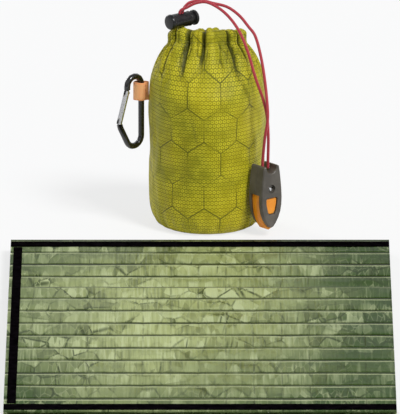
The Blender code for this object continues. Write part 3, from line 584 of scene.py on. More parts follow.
# Between the folds the cloth swells, hangs in soft waves, puckers at the base seam and ruffles at the hem.
BODY_SWELL = 0.6 * MM
SOFT_WAVE = 1.9 * MM
SOFT_RUN = 38 * MM
FINE_WAVE = 0.7 * MM
FINE_RUN = 17 * MM
BASE_PUCKERS = 26
PUCKER_DEEP = 0.55 * MM
PUCKER_TOP = 26 * MM
PUCKER_FULL = 2 * MM
PUCKER_SEAM = 3 * MM
RUFFLE = 0.9 * MM
RUFFLE_RUN = 9 * MM
HEM_BUNCH = 0.6 * MM


def cloth_point(radius, height, angle, fine=1.0):
    """A point of the gathered cloth, as the frame has it, with the finer folds and creases added."""
    gathered, at_hem, body = sack_shares(height)
    depth = 1 - (1 - MOUTH_OVAL) * gathered
    swell = BODY_SWELL * math.sin(3 * angle + 0.7) * body
    fold = pleat_fold(angle, height) * (PLEAT_DEPTH - HEM_PLEAT_LOSS * at_hem) * fine
    around = Vector((math.cos(angle), math.sin(angle), 0))
    soft = noise.noise(around * 1.9 + Vector((0, 0, height / SOFT_RUN))) * SOFT_WAVE * body**0.6
    soft += noise.noise(around * 5.5 + Vector((4, 0, height / FINE_RUN))) * FINE_WAVE * body**0.6
    crease = -cloth_crease(angle % (2 * math.pi), height) * MM
    near_base = smoothstep(PUCKER_TOP, PUCKER_FULL, height) * smoothstep(0, PUCKER_SEAM, height)
    pucker = PUCKER_DEEP * math.cos(BASE_PUCKERS * angle + 1.5 * math.sin(3 * angle)) * near_base
    r = radius + swell * (1 - gathered) + fold + fine * (soft * (1 - at_hem) + crease + pucker)
    apart = (angle - LOCK_ANGLE + math.pi) % (2 * math.pi) - math.pi
    lift = LOCK_LIFT * math.exp(-((apart / LOCK_LIFT_WIDE) ** 2)) * gathered
    waves = RIM_WAVE * math.sin(5 * angle + 0.4) * gathered
    ruffle = noise.noise(around * 9.0 + Vector((6, 2, height / RUFFLE_RUN))) * RUFFLE
    bunched = (HEM_BUNCH * pleat_fold(angle, WALL_TOP) + ruffle) * at_hem * fine
    back = RIM_TILT * gathered * (math.sin(angle) + 0.2)
    hem_depth = HEM_MIDDLE * depth + r - HEM_MIDDLE
    reach = r * depth + (hem_depth - r * depth) * smoothstep(WALL_TOP - OVAL_BLEND, WALL_TOP, height)
    return Vector((r * math.cos(angle), reach * math.sin(angle), height + lift + waves + bunched - back))


# The pattern in the ripstop: tall hexagons with thin outlines, and rows of small raised rings between them.
# HEX_CENTRE is the middle of one hexagon. Lines are given in shares of a hexagon or of a ring's room.
HEX_WIDE = 27.5 * MM
HEX_STRETCH = 1.165
HEX_CENTRE = (205.2 * MM, 97.9 * MM)
HEX_LINE = (0.478, 0.491)
HEX_INSET = 0.43
HEX_INSET_LINE = (0.012, 0.004)
DOT_WIDE = 3.3 * MM
DOT_HIGH = 3.1 * MM
RING_RADIUS = 0.30
RING_LINE = (0.17, 0.05)
ROW = math.sqrt(3)
hexes, hex_in, hex_out = new_group(
    "hexagon_ripstop", {"Across": 0.0, "Up": 0.0, "Width": HEX_WIDE, "Stretch": HEX_STRETCH},
    ["Outline", "Inset", "Ring"],
)
hex_x = hexes.over(hex_in["Across"], hex_in["Width"])
hex_y = hexes.over(hexes.over(hex_in["Up"], hex_in["Width"]), hex_in["Stretch"])
candidates = []
for shift_x, shift_y in ((0.0, 0.0), (0.5, ROW / 2)):
    moved_x = hexes.maths("FLOORED_MODULO", hexes.minus(hex_x, shift_x), 1.0)
    moved_y = hexes.maths("FLOORED_MODULO", hexes.minus(hex_y, shift_y), ROW)
    x = hexes.absolute(hexes.minus(moved_x, 0.5))
    y = hexes.absolute(hexes.minus(moved_y, ROW / 2))
    slant = hexes.plus(hexes.times(x, 0.5), hexes.times(y, ROW / 2))
    candidates.append(hexes.maths("MAXIMUM", x, slant))
hex_distance = hexes.maths("MINIMUM", candidates[0], candidates[1])
hexes.put(hex_out, "Outline", hexes.span(hex_distance, *HEX_LINE))
inner_line = hexes.absolute(hexes.minus(hex_distance, HEX_INSET))
hexes.put(hex_out, "Inset", hexes.span(inner_line, *HEX_INSET_LINE))
ring_y = hexes.over(hex_in["Up"], DOT_HIGH)
odd_row = hexes.maths("FLOORED_MODULO", hexes.maths("FLOOR", ring_y), 2.0)
half_step = hexes.times(odd_row, 0.5)
ring_x = hexes.plus(hexes.over(hex_in["Across"], DOT_WIDE), half_step)
from_x = hexes.minus(hexes.maths("FRACT", ring_x), 0.5)
from_y = hexes.minus(hexes.maths("FRACT", ring_y), 0.5)
square_x = hexes.times(from_x, from_x)
ring_far = hexes.maths("SQRT", hexes.plus(square_x, hexes.times(from_y, from_y)))
ring_line = hexes.absolute(hexes.minus(ring_far, RING_RADIUS))
hexes.put(hex_out, "Ring", hexes.span(ring_line, *RING_LINE))

# A plain weave: warp and weft threads passing over each other.
weave, weave_in, weave_out = new_group(
    "plain_weave", {"Across": 0.0, "Up": 0.0, "Thread": 0.5 * MM}, ["Height"]
)
thread_turn = weave.over(math.pi, weave_in["Thread"])
warp = weave.maths("SINE", weave.times(weave_in["Across"], thread_turn))
weft = weave.maths("SINE", weave.times(weave_in["Up"], thread_turn))
weave.put(weave_out, "Height", weave.times(warp, weft))

# The ripstop's finish: yellow-green in two close tones, brighter rings, dull outlines that fade in and out,
# and painted shade in the folds. Whole hexagons are added, so that no place in the pattern is negative.
CLOTH_THREAD = 0.45 * MM
CLOTH_RELIEF = 0.10 * MM
CLOTH_GREEN = (0.285, 0.275, 0.008)
CLOTH_YELLOW = (0.46, 0.385, 0.006)
RING_YELLOW = (0.70, 0.62, 0.03)
GAP_GREEN = (0.155, 0.165, 0.008)
INSET_GREEN = (0.12, 0.125, 0.01)
OUTLINE_GREEN = (0.085, 0.090, 0.005)
FOLD_SHADE_GREEN = (0.035, 0.04, 0.004)
HEXES_AHEAD = 20
ripstop, layout, shader = new_material(
    "sack_ripstop_cloth", (0.40, 0.36, 0.03), 0.55, Sheen_Weight=0.06, Sheen_Roughness=0.4,
    Specular_IOR_Level=0.22,
)
cloth_uv, across, up = cloth_places(layout)
hex_high = ROW * HEX_WIDE * HEX_STRETCH
hex_across = layout.plus(across, (0.5 + HEXES_AHEAD) * HEX_WIDE - HEX_CENTRE[0])
hex_up = layout.plus(up, (0.5 + HEXES_AHEAD) * hex_high - HEX_CENTRE[1])
pattern = layout.place(hexes.tree, Across=hex_across, Up=hex_up).outputs
threads = layout.place(weave.tree, Across=across, Up=up, Thread=CLOTH_THREAD).outputs
tone = layout.noise(cloth_uv, 22, 3)
patchy = layout.span(layout.noise(cloth_uv, 90, 2), 0.38, 0.6, 0.3, 0.95)
faded = layout.span(layout.noise(cloth_uv, 45, 3), 0.40, 0.56, 0.22, 0.85)
# The "fold" UV map carries the painted shade of the pleats' valleys and the creases.
fold_shade_uv = layout.add("UVMap")
fold_shade_uv.uv_map = "fold"
cloth_tone = layout.coated(
    CLOTH_GREEN,
    (layout.span(tone, 0.36, 0.64), CLOTH_YELLOW),
    (layout.times(pattern["Ring"], patchy), RING_YELLOW),
    (layout.span(pattern["Ring"], 0.25, 0.0, 0.0, 0.5), GAP_GREEN),
    (layout.times(pattern["Inset"], 0.18), INSET_GREEN),
    (layout.times(pattern["Outline"], faded), OUTLINE_GREEN),
    # Painted shade: the cloth darkens in the pleats' valleys and along the creases.
    (layout.span(layout.parts(fold_shade_uv.outputs["UV"])["X"], 0.08, 0.75, 0.0, 0.88), FOLD_SHADE_GREEN),
)
layout.put(shader, "Base Color", cloth_tone)
layout.put(shader, "Roughness", layout.span(pattern["Ring"], 0.0, 1.0, 0.58, 0.42))
crumple = layout.noise(cloth_uv, 60, 4, 0.55)
sharp_crumple = layout.absolute(layout.minus(layout.noise(cloth_uv, 34, 2), 0.5))
relief = layout.total(
    pattern["Ring"], (threads["Height"], 0.2), (pattern["Outline"], -1.0), (crumple, 5.0),
    (layout.span(sharp_crumple, 0.05, 0.0, 0.0, 2.0), -1.0),
)
add_bump(layout, shader, relief, CLOTH_RELIEF, 0.8)

cloth_line, cloth_length = smooth_path([(r, 0, z) for r, z in cloth_outline()], UP)
cloth_points = []
cloth_uvs = []
cloth_fold_shade = []
for i, place in enumerate(cloth_line):
    # The last place round the sack repeats the first, so that the pattern doesn't run back.
    for j in range(AROUND + 1):
        angle = math.pi + 2 * math.pi * j / AROUND
        cloth_points.append(cloth_point(place.x, place.z, angle))
        cloth_uvs.append((angle * SACK_RADIUS, cloth_length * i / (UP - 1)))
        # Painted shade, deepest in the pleats' valleys and along the creases, kept in the "fold" UV map.
        fold_shade = max(-0.55 * pleat_fold(angle, place.z), 0.0)
        gathered = sack_shares(place.z)[0]
        fold_shade += (0.20 + 0.15 * gathered) * cloth_crease(angle % (2 * math.pi), place.z)
        cloth_fold_shade.append((min(fold_shade, 1.0), 0.0))
sack_cloth = add_object("sack_cloth", cloth_points, grid_faces(UP, AROUND + 1), ripstop, cloth_uvs)
fold_shade_layer = sack_cloth.data.uv_layers.new(name="fold")
for loop in sack_cloth.data.loops:
    fold_shade_layer.data[loop.index].uv = cloth_fold_shade[loop.vertex_index]
lining = sack_cloth.modifiers.new("cloth_thickness", "SOLIDIFY")
lining.thickness = CLOTH_THICKNESS
lining.offset = -1
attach(sack_cloth, "sack")
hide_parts("sack_wall", "sack_hem")

# The stitches that hold the hem down: short raised threads of a slightly darker green that follow the pleats.
STITCH_LONG = 2.2 * MM
STITCH_STEP = 3.4 * MM
STITCH_THICK = 0.45 * MM
STITCH_FORM = ((0.0, 0.45), (0.15, 0.9), (0.5, 1.0), (0.85, 0.9), (1.0, 0.45))
STITCH_SIDES = 6
STITCH_OUT = 0.2 * MM
STITCH_UP = 1.2 * MM
HEM_STEPS = 240


def sewing_thread(name, base, dark, light):
    """Twisted thread: two tones and a fine relief that follow its twist."""
    made, layout, shader = new_material(name, base[0], base[1], Sheen_Weight=0.3)
    twist = layout.noise(layout.on_object(), 1800, 2)
    layout.put(shader, "Base Color", layout.mix(twist, dark, light))
    add_bump(layout, shader, twist, 0.08 * MM)
    return made


def ring_faces(first, rings, sides):
    """Faces over closed rings of points that lie one after another, with a cap at each end."""
    faces = []
    for i in range(rings - 1):
        for j in range(sides):
            a = first + i * sides + j
            b = first + i * sides + (j + 1) % sides
            faces.append((a, b, b + sides, a + sides))
    last = first + (rings - 1) * sides
    faces.append(tuple(first + j for j in range(sides - 1, -1, -1)))
    faces.append(tuple(last + j for j in range(sides)))
    return faces


def stitches(name, way, material, thick=STITCH_THICK, long=STITCH_LONG, step=STITCH_STEP):
    """Short capsules of thread laid along a way of points."""
    dense, total = smooth_path(way, max(len(way) * 2, 12))
    along = np.linspace(0, total, len(dense))
    table = np.array([tuple(p) for p in dense])
    points = []
    faces = []
    for number in range(int(total / step)):
        ends = []
        for s in (number * step, number * step + long):
            ends.append(Vector([float(np.interp(s, along, table[:, axis])) for axis in range(3)]))
        direction = (ends[1] - ends[0]).normalized()
        side = direction.orthogonal().normalized()
        other = direction.cross(side)
        faces += ring_faces(len(points), len(STITCH_FORM), STITCH_SIDES)
        for share, width in STITCH_FORM:
            centre = ends[0].lerp(ends[1], share)
            for j in range(STITCH_SIDES):
                angle = 2 * math.pi * j / STITCH_SIDES
                spoke = math.cos(angle) * side + math.sin(angle) * other
                points.append(centre + thick / 2 * width * spoke)
    return add_object(name, points, faces, material)


thread_green = sewing_thread("hem_thread", ((0.30, 0.30, 0.03), 0.7), (0.20, 0.21, 0.02), (0.46, 0.43, 0.05))
hem_way = []
for j in range(HEM_STEPS + 1):
    angle = 2 * math.pi * j / HEM_STEPS
    hem_way.append(cloth_point(HEM_MIDDLE + CHANNEL_HALF + STITCH_OUT, WALL_TOP + STITCH_UP, angle))
hem_stitches = stitches("hem_stitches", hem_way, thread_green)
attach(hem_stitches, "sack")

# The base panel: a round of the same cloth, sewn into the foot of the side. It is drawn up a little in its
# middle, and ripples at the seam.
BASE_RINGS = 12
BASE_SIDES = 96
BASE_LOW = 0.25 * MM
BASE_DRAWN_UP = 0.35 * MM
BASE_RIPPLE = 0.12 * MM
BASE_PATTERN_AT = 0.4
base_points = []
base_uvs = []
base_faces = []
base_row = BASE_SIDES + 1
for i in range(BASE_RINGS + 1):
    share = i / BASE_RINGS
    for j in range(base_row):
        angle = 2 * math.pi * j / BASE_SIDES
        x = BASE_RADIUS * share * math.cos(angle)
        y = BASE_RADIUS * share * math.sin(angle)
        ripple = BASE_RIPPLE * math.cos(24 * angle) * share**3
        base_points.append((x, y, BASE_LOW + BASE_DRAWN_UP * (1 - share**2) + ripple))
        base_uvs.append((x + BASE_PATTERN_AT, y + BASE_PATTERN_AT))
        if i and j:
            a = i * base_row + j
            base_faces.append((a, a - 1, a - base_row - 1, a - base_row))
base_panel = add_object("sack_base_panel", base_points, base_faces, ripstop, base_uvs)
base_panel.modifiers.new("cloth_thickness", "SOLIDIFY").thickness = CLOTH_THICKNESS
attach(base_panel, "sack")
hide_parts("sack_base")

# The run of the drawcord inside the hem: it goes once round the mouth's oval, and its two ends turn up
# through the slit under the lock.
HEM_CORD_RADIUS = 26.5 * MM
HEM_CORD_HEIGHT = 156.0 * MM
SLIT_TOP = 164.4 * MM
SLIT_ROOM = 0.20
CORD_TURN = 3.0 * MM
RUN_STEPS = 44
run_way = []
for j in range(RUN_STEPS + 1):
    angle = LOCK_ANGLE + SLIT_ROOM + 2 * (math.pi - SLIT_ROOM) * j / RUN_STEPS
    run_way.append(cloth_point(HEM_CORD_RADIUS, HEM_CORD_HEIGHT, angle, 0.0))
feet = []
for offset in (STRAND_APART, -STRAND_APART):
    foot = LOCK_CENTRE + LOCK_AXIS * offset
    feet.append(Vector((foot.x, foot.y, SLIT_TOP)))
turn_down = Vector((0, 0, CORD_TURN))
run_way = [feet[0], feet[0] - turn_down] + run_way + [feet[1] - turn_down, feet[1]]
run_path, run_length = smooth_path(run_way, 150)
hem_run = tube("drawcord_hem_run_braid", run_path, CORD_DIAMETER / 2, 14, cord_red)
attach(hem_run, "sack")
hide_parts("drawcord_hem_run")


# The webbing loop: 15 mm of orange polyester webbing, folded round the carabiner's spine. Its two ends are
# laid together and sewn into the sack's side seam with a bar tack.
LOOP_HEIGHT = 111 * MM
WEB_WIDTH = 15 * MM
WEB_THICKNESS = 1.15 * MM
SPINE_X = -53.2 * MM
LOOP_HALF = 3.8 * MM
LOOP_LONG = 1.4 * LOOP_HALF
LOOP_ROOT = -47.3 * MM
LOOP_NECK = -49.0 * MM
LOOP_OUT = 0.6 * MM
LOOP_STARTS = 68
LOOP_TURNS = 224
LOOP_STEPS = 14
ROOT_HALF = 1.0 * MM
NECK_HALF = 1.9 * MM
WEB_RIB = 0.95 * MM
WEB_YARN = 0.8 * MM
WEB_RELIEF = 0.16 * MM
SELVEDGE = (1.5 * MM, 1.2 * MM)
WEB_FLAT = 0.94
WEB_WANDER = 0.15 * MM
WEB_GAP_SHADE = (1.0, 0.25, 0.07)
WEB_LIGHT = (1.0, 0.60, 0.27)
WEB_FLECK = (1.0, 0.52, 0.30)
WEB_EDGE = (0.92, 0.21, 0.05)

web_orange, layout, shader = new_material(
    "webbing_orange", (0.90, 0.30, 0.10), 0.62, Sheen_Weight=0.35, Sheen_Roughness=0.5, Specular_IOR_Level=0.3
)
web_uv, across, up = cloth_places(layout)
rib = layout.absolute(layout.maths("SINE", layout.times(across, math.pi / WEB_RIB)))
yarns = layout.absolute(layout.maths("SINE", layout.times(up, math.pi / WEB_YARN)))
from_middle = layout.absolute(layout.minus(up, WEB_WIDTH / 2))
edge_band = layout.span(from_middle, WEB_WIDTH / 2 - SELVEDGE[0], WEB_WIDTH / 2 - SELVEDGE[1])
web_height = layout.total(rib, (yarns, 0.5))
fleck = layout.span(layout.noise(web_uv, 1400, 2), 0.5, 0.7)
# The webbing is darkest in the hollows between its ribs and yarns: painted shade; the flecks and the redder
# selvedges are its own colour.
web_tone = layout.coated(
    WEB_GAP_SHADE,
    (layout.span(web_height, 0.3, 1.3), WEB_LIGHT),
    (layout.times(fleck, 0.35), WEB_FLECK),
    (layout.times(edge_band, 0.35), WEB_EDGE),
)
layout.put(shader, "Base Color", web_tone)
add_bump(layout, shader, web_height, WEB_RELIEF, 0.9)

web_way = [Vector((LOOP_ROOT, ROOT_HALF, 0)), Vector((LOOP_NECK, NECK_HALF, 0))]
for step in range(LOOP_STEPS + 1):
    angle = math.radians(LOOP_STARTS + LOOP_TURNS * step / LOOP_STEPS)
    out = SPINE_X - LOOP_OUT + LOOP_LONG * math.cos(angle)
    web_way.append(Vector((out, LOOP_HALF * math.sin(angle), 0)))
web_way += [Vector((LOOP_NECK, -NECK_HALF, 0)), Vector((LOOP_ROOT, -ROOT_HALF, 0))]
web_path, web_length = smooth_path(web_way, 64)
# Round the section runs the flat webbing's outline: two broad faces, each followed by a rounded selvedge.
web_section = []
for face in (1, -1):
    for step in range(13):
        web_section.append((face * WEB_THICKNESS / 2, face * WEB_WIDTH * (0.5 - step / 12) * WEB_FLAT))
    for step in range(1, 4):
        turn = math.pi * step / 4
        lip = WEB_WIDTH / 2 * (WEB_FLAT + (1 - WEB_FLAT) * math.sin(turn))
        web_section.append((face * WEB_THICKNESS / 2 * math.cos(turn), -face * lip))
web_points = []
web_uvs = []
for i, place in enumerate(web_path):
    tangent = (web_path[min(i + 1, len(web_path) - 1)] - web_path[max(i - 1, 0)]).normalized()
    outward = Vector((tangent.y, -tangent.x, 0))
    for out, along in web_section:
        point = place + outward * out
        point.z = LOOP_HEIGHT + along + WEB_WANDER * math.sin(i * 0.35)
        web_points.append(point)
        web_uvs.append((web_length * i / (len(web_path) - 1), along + WEB_WIDTH / 2))
web_faces = ring_faces(0, len(web_path), len(web_section))
web_loop = add_object("webbing_loop_web", web_points, web_faces, web_orange, web_uvs)
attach(web_loop, "sack")
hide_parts("webbing_loop")

# The bar tack: a tight zigzag of orange thread across the webbing, close to the seam.
TACK_X = -49.7 * MM
TACK_Y = -3.05 * MM
TACK_SWING = 0.55 * MM
TACK_LONG = 0.82 * WEB_WIDTH
TACK_THREAD = 0.4 * MM
TACK_STITCH = 1.0 * MM
TACK_STEP = 1.15 * MM
TACK_SWINGS = 24
thread_orange = sewing_thread(
    "webbing_thread", ((0.75, 0.13, 0.03), 0.6), (0.50, 0.06, 0.012), (0.85, 0.20, 0.05)
)
tack_way = []
for step in range(TACK_SWINGS + 1):
    swing = TACK_SWING * (-1) ** step
    up = LOOP_HEIGHT + TACK_LONG * (step / TACK_SWINGS - 0.5)
    tack_way.append(Vector((TACK_X + swing, TACK_Y, up)))
web_tacks = stitches("webbing_bar_tack", tack_way, thread_orange, TACK_THREAD, TACK_STITCH, TACK_STEP)
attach(web_tacks, "sack")


# The cord lock: a moulded black barrel with a sprung plunger inside it, both with a hole across for the two
# strands. The spring pushes the plunger out, which pinches the cords. The mouldings get the rounded edges
# that a mould leaves.
LOCK_EDGE = 0.25 * MM
LOCK_SHARP = 30
SAME_PLACE = 0.002 * MM
FLAT_ANGLE = math.radians(0.6)
GRAIN_RELIEF = 0.02 * MM
LOCK_BLACK = (0.006, 0.006, 0.007)
LOCK_WORN = (0.016, 0.016, 0.018)


def refined(name, node, material, edge, sharp):
    """A finer copy of a CAD node: welded, flat faces joined, edges rounded and shaded smooth."""
    form = bmesh.new()
    form.from_mesh(bpy.data.objects[node].data)
    bmesh.ops.remove_doubles(form, verts=form.verts, dist=SAME_PLACE)
    bmesh.ops.dissolve_limit(form, angle_limit=FLAT_ANGLE, verts=form.verts, edges=form.edges)
    for face in form.faces:
        face.smooth = True
    for line in form.edges:
        line.smooth = not (line.is_manifold and line.calc_face_angle() > math.radians(sharp))
    clean = bpy.data.meshes.new(name)
    form.to_mesh(clean)
    form.free()
    for label in ("custom_normal", "sharp_face"):
        if label in clean.attributes:
            clean.attributes.remove(clean.attributes[label])
    clean.materials.clear()
    clean.materials.append(material)
    copy = bpy.data.objects.new(name, clean)
    bpy.context.scene.collection.objects.link(copy)
    rounding = copy.modifiers.new("rounded_edges", "BEVEL")
    rounding.width = edge
    rounding.segments = 2
    rounding.limit_method = "ANGLE"
    rounding.angle_limit = math.radians(sharp)
    rounding.harden_normals = True
    rounding.use_clamp_overlap = True
    return copy


# The fine grain of a moulded surface, with soft scuffs, from places on the piece.
grain, grain_in, grain_out = new_group(
    "moulded_grain", {"Place": (0, 0, 0), "Fineness": 2500.0, "Scuff": 90.0}, ["Height", "Worn"]
)
grain.put(grain_out, "Height", grain.noise(grain_in["Place"], grain_in["Fineness"], 2))
scuffs = grain.noise(grain_in["Place"], grain_in["Scuff"], 5)
grain.put(grain_out, "Worn", grain.span(scuffs, 0.45, 0.7))


def worn_finish(layout, shader, skin, tones, roughness, relief, strength):
    """Two close tones, a fine grain and a roughness that all change where the surface is rubbed."""
    layout.put(shader, "Base Color", layout.mix(skin.outputs["Worn"], *tones))
    layout.put(shader, "Roughness", layout.span(skin.outputs["Worn"], 0.0, 1.0, *roughness))
    add_bump(layout, shader, skin.outputs["Height"], relief, strength)


def moulded(name, dark, light, smooth, rough):
    """A moulded plastic: smooth as it leaves the mould, and rougher where it is rubbed."""
    made, layout, shader = new_material(name, dark, rough)
    skin = layout.place(grain.tree, Place=layout.on_object())
    worn_finish(layout, shader, skin, (dark, light), (smooth, rough), GRAIN_RELIEF, 0.5)
    return made


lock_black = moulded("lock_satin_black", LOCK_BLACK, LOCK_WORN, 0.24, 0.42)
lock_barrel = refined("cord_lock_barrel_moulding", "cord_lock_barrel", lock_black, LOCK_EDGE, LOCK_SHARP)
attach(lock_barrel, "sack")
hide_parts("cord_lock_barrel")
lock_plunger = refined("cord_lock_plunger_moulding", "cord_lock_plunger", lock_black, LOCK_EDGE, LOCK_SHARP)
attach(lock_plunger, "lock_plunger")
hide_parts("cord_lock_plunger")

# The metal of the spring, pins and rivets: drawn steel, with fine lines and a brushed gloss.
STEEL_DARK = (0.48, 0.48, 0.49)
STEEL_LIGHT = (0.74, 0.74, 0.75)


def metal_finish(layout, shader, lines, stain, tones, roughness, relief):
    """Bare metal: soft stains in its tone, and fine lines in its gloss and relief."""
    layout.put(shader, "Base Color", layout.mix(stain, *tones))
    layout.put(shader, "Roughness", layout.span(lines, 0.3, 0.7, *roughness))
    add_bump(layout, shader, lines, relief, 0.4)


steel, layout, shader = new_material("bare_steel", (0.62, 0.62, 0.63), 0.3, 1.0)
place = layout.on_object()
lines = layout.noise(place, 1500, 3)
stain = layout.noise(place, 220, 3)
metal_finish(layout, shader, lines, stain, (STEEL_DARK, STEEL_LIGHT), (0.2, 0.42), 0.015 * MM)
for node in ("carabiner_hinge_pin", "carabiner_nose_pin", "whistle_rivet_front", "whistle_rivet_back"):
    for own_slot in bpy.data.objects[node].material_slots:
        own_slot.material = steel

# The lock's spring: steel wire wound in three and a half turns between the barrel's end and the plunger's
# stem.
SPRING_WIRE = 0.6 * MM
SPRING_RADIUS = 3.0 * MM
SPRING_TURNS = 3.5
SPRING_LEFT = -11.2 * MM
SPRING_RIGHT = -5.5 * MM
SPRING_STEPS = 112
coil_run = SPRING_RIGHT - SPRING_LEFT - SPRING_WIRE
coil_side = Vector((-LOCK_AXIS.y, LOCK_AXIS.x, 0)) * SPRING_RADIUS
coil_way = []
for step in range(SPRING_STEPS + 1):
    share = step / SPRING_STEPS
    angle = 2 * math.pi * SPRING_TURNS * share
    run = SPRING_LEFT + SPRING_WIRE / 2 + coil_run * share
    upwards = Vector((0, 0, SPRING_RADIUS * math.sin(angle)))
    coil_way.append(LOCK_CENTRE + LOCK_AXIS * run + coil_side * math.cos(angle) + upwards)
lock_coil = tube("cord_lock_spring_coil", coil_way, SPRING_WIRE / 2, 10, steel, True)
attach(lock_coil, "sack")
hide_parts("cord_lock_spring")
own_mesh(lock_coil)


# The carabiner: a small snap-gate hook bent from aluminium rod and anodised gloss black, with a bare gate
# that turns on a pin and closes on a notched nose. It hangs in the webbing loop.
ROD_BLACK = (0.004, 0.004, 0.005)
ROD_WORN = (0.016, 0.015, 0.016)
ROD_EDGE = 0.12 * MM
ROD_SHARP = 42
GATE_DARK = (0.66, 0.66, 0.68)
GATE_LIGHT = (0.86, 0.86, 0.88)
GATE_EDGE = 0.2 * MM
GATE_SHARP = 36
GATE_DRAWN = 0.08

rod_black, layout, shader = new_material(
    "carabiner_gloss_black", (0.006, 0.005, 0.006), 0.2, Coat_Weight=0.6, Coat_Roughness=0.06
)
skin = layout.place(grain.tree, Place=layout.on_object(), Fineness=900, Scuff=160)
worn_finish(layout, shader, skin, (ROD_BLACK, ROD_WORN), (0.14, 0.36), 0.01 * MM, 0.3)
hook = refined("carabiner_hook", "carabiner_body", rod_black, ROD_EDGE, ROD_SHARP)
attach(hook, "carabiner")
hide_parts("carabiner_body")

# The gate is satin metal, polished along its length, so its lines are drawn out that way.
gate_metal, layout, shader = new_material("gate_satin_metal", (0.78, 0.78, 0.80), 0.3, 1.0)
drawn_out = layout.add("Mapping")
layout.put(drawn_out, "Vector", layout.on_object())
layout.put(drawn_out, "Scale", (1.0, 1.0, GATE_DRAWN))
lines = layout.noise(drawn_out.outputs["Vector"], 2600, 2)
stain = layout.noise(drawn_out.outputs["Vector"], 240, 3)
metal_finish(layout, shader, lines, stain, (GATE_DARK, GATE_LIGHT), (0.2, 0.38), 0.02 * MM)
gate_bar = refined("carabiner_gate_bar", "carabiner_gate", gate_metal, GATE_EDGE, GATE_SHARP)
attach(gate_bar, "gate")
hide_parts("carabiner_gate")


# The whistle: two warm grey moulded shells over an orange core, which shows in the window and round the lower
# end. A rivet through the recess holds the halves together.
SHELL_GREY = (0.078, 0.068, 0.055)
SHELL_WORN = (0.135, 0.120, 0.100)
SHELL_EDGE = 0.4 * MM
SHELL_SHARP = 34
CORE_ORANGE = (0.84, 0.27, 0.010)
CORE_WORN = (0.95, 0.36, 0.02)
CORE_EDGE = 0.45 * MM
CORE_SHARP = 40
shell_grey = moulded("whistle_warm_grey", SHELL_GREY, SHELL_WORN, 0.40, 0.6)
core_orange = moulded("whistle_orange", CORE_ORANGE, CORE_WORN, 0.28, 0.5)
whistle_core = refined("whistle_core_moulding", "whistle_core", core_orange, CORE_EDGE, CORE_SHARP)
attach(whistle_core, "whistle")
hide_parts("whistle_core")
for half in ("front", "back"):
    node = f"whistle_shell_{half}"
    shell = refined(f"whistle_shell_{half}_moulding", node, shell_grey, SHELL_EDGE, SHELL_SHARP)
    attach(shell, "whistle")
    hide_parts(f"whistle_shell_{half}")


# The sleeping bag: two thin metallised films joined at the edges, sage green outside. It was packed in
# thirteen lengthwise strips and keeps their creases. Here one pleat lies across its width, and seven sections
# lie on each other along its length.
BAG_LENGTH = 2130 * MM
BAG_WIDTH = 914 * MM
SECTIONS = 7
GAP = 0.3 * MM
FILM = 0.3 * MM
FILM_SEEN = 0.14 * MM
STRIP = BAG_WIDTH / 13
LAYER = FILM + GAP
SECTION_HEIGHT = 3 * FILM + 2 * GAP
PITCH = SECTION_HEIGHT + GAP
TAPE_WIDTH = 15 * MM
TAPE_INSET = 7 * MM
TAPE_THICKNESS = 0.2 * MM
FOOT_TAPE_WIDTH = 7 * MM
FOOT_TAPE_INSET = 2.5 * MM
BAND = TAPE_INSET + TAPE_WIDTH + 2 * MM
SLOPE = 5 * MM
TURN = 0.9 * MM
NEAR_FOLD = 2 * STRIP
FAR_FOLD = 5 * STRIP
FOOTPRINT = 7 * STRIP
BAG_CENTRE_X = -5.7 * MM
BAG_FAR_Y = -92 * MM
BAG_NEAR_Y = BAG_FAR_Y - FOOTPRINT
SECTION_LONG = BAG_LENGTH / SECTIONS
X_LEFT = BAG_CENTRE_X - SECTION_LONG / 2 + GAP / 2
X_RIGHT = BAG_CENTRE_X + SECTION_LONG / 2 - GAP / 2
CREASE = STRIP / 2
CROSS_CREASE = 21.75 * MM

# Pressed folds in film: straight creases both ways with small jogs; the creases are grooves with a lip beside
# each, and between them lie small facets whose edges crinkle. The grooves carry painted shade and the lips
# painted highlights, and the facets and their crinkled edges carry painted highlights and shade. Widths are
# shares of the creases' pitch. Each pattern of facets is its cells to the metre, along and across, and how
# often it bends.
LONG_GROOVE = (0.105, 0.040)
LONG_LIP_AWAY = 0.13
LONG_LIP = (0.07, 0.02)
CROSS_GROOVE = (0.040, 0.010)
COARSE_FACETS = (60, 19, 10)
MEDIUM_FACETS = (200, 38, 22)
FACET_PULL = 0.4
FACET_TILT = (0.8, 2.0, 0)
FACET_EDGE = (0.055, 0.012)
STRIATION = (480, 14)
STRIP_SHIFT = 0.731
creases, crease_in, crease_out = new_group(
    "pressed_creases",
    {"Along": 0.0, "Across": 0.0, "Cloth": (0, 0, 0), "Long Pitch": 35 * MM, "Cross Pitch": 22 * MM},
    ["Height", "Groove", "Lip", "Crinkle", "Facet"],
)
film_place = crease_in["Cloth"]
jog = creases.noise(film_place, 14, 2)
jog_amount = creases.times(creases.minus(jog, 0.5), 0.08)


def crease_line(place, pitch, wander):
    """How far past the nearest crease a place is, in shares of the pitch; before it, this is negative."""
    turn = creases.plus(creases.over(place, pitch), wander)
    share = creases.maths("FRACT", creases.plus(turn, 0.5))
    return creases.minus(share, 0.5)


# Each strip between two long creases has crinkles of its own: its number moves the patterns along.
strip_number = creases.maths("FLOOR", creases.over(crease_in["Across"], crease_in["Long Pitch"]))
strip_shift = creases.fill(creases.add("CombineXYZ"), creases.times(strip_number, STRIP_SHIFT))
strip_cloth = creases.vector("ADD", film_place, strip_shift.outputs[0])


def stretched(scale_along, scale_across):
    return creases.vector("MULTIPLY", strip_cloth, (scale_along, scale_across, 1))


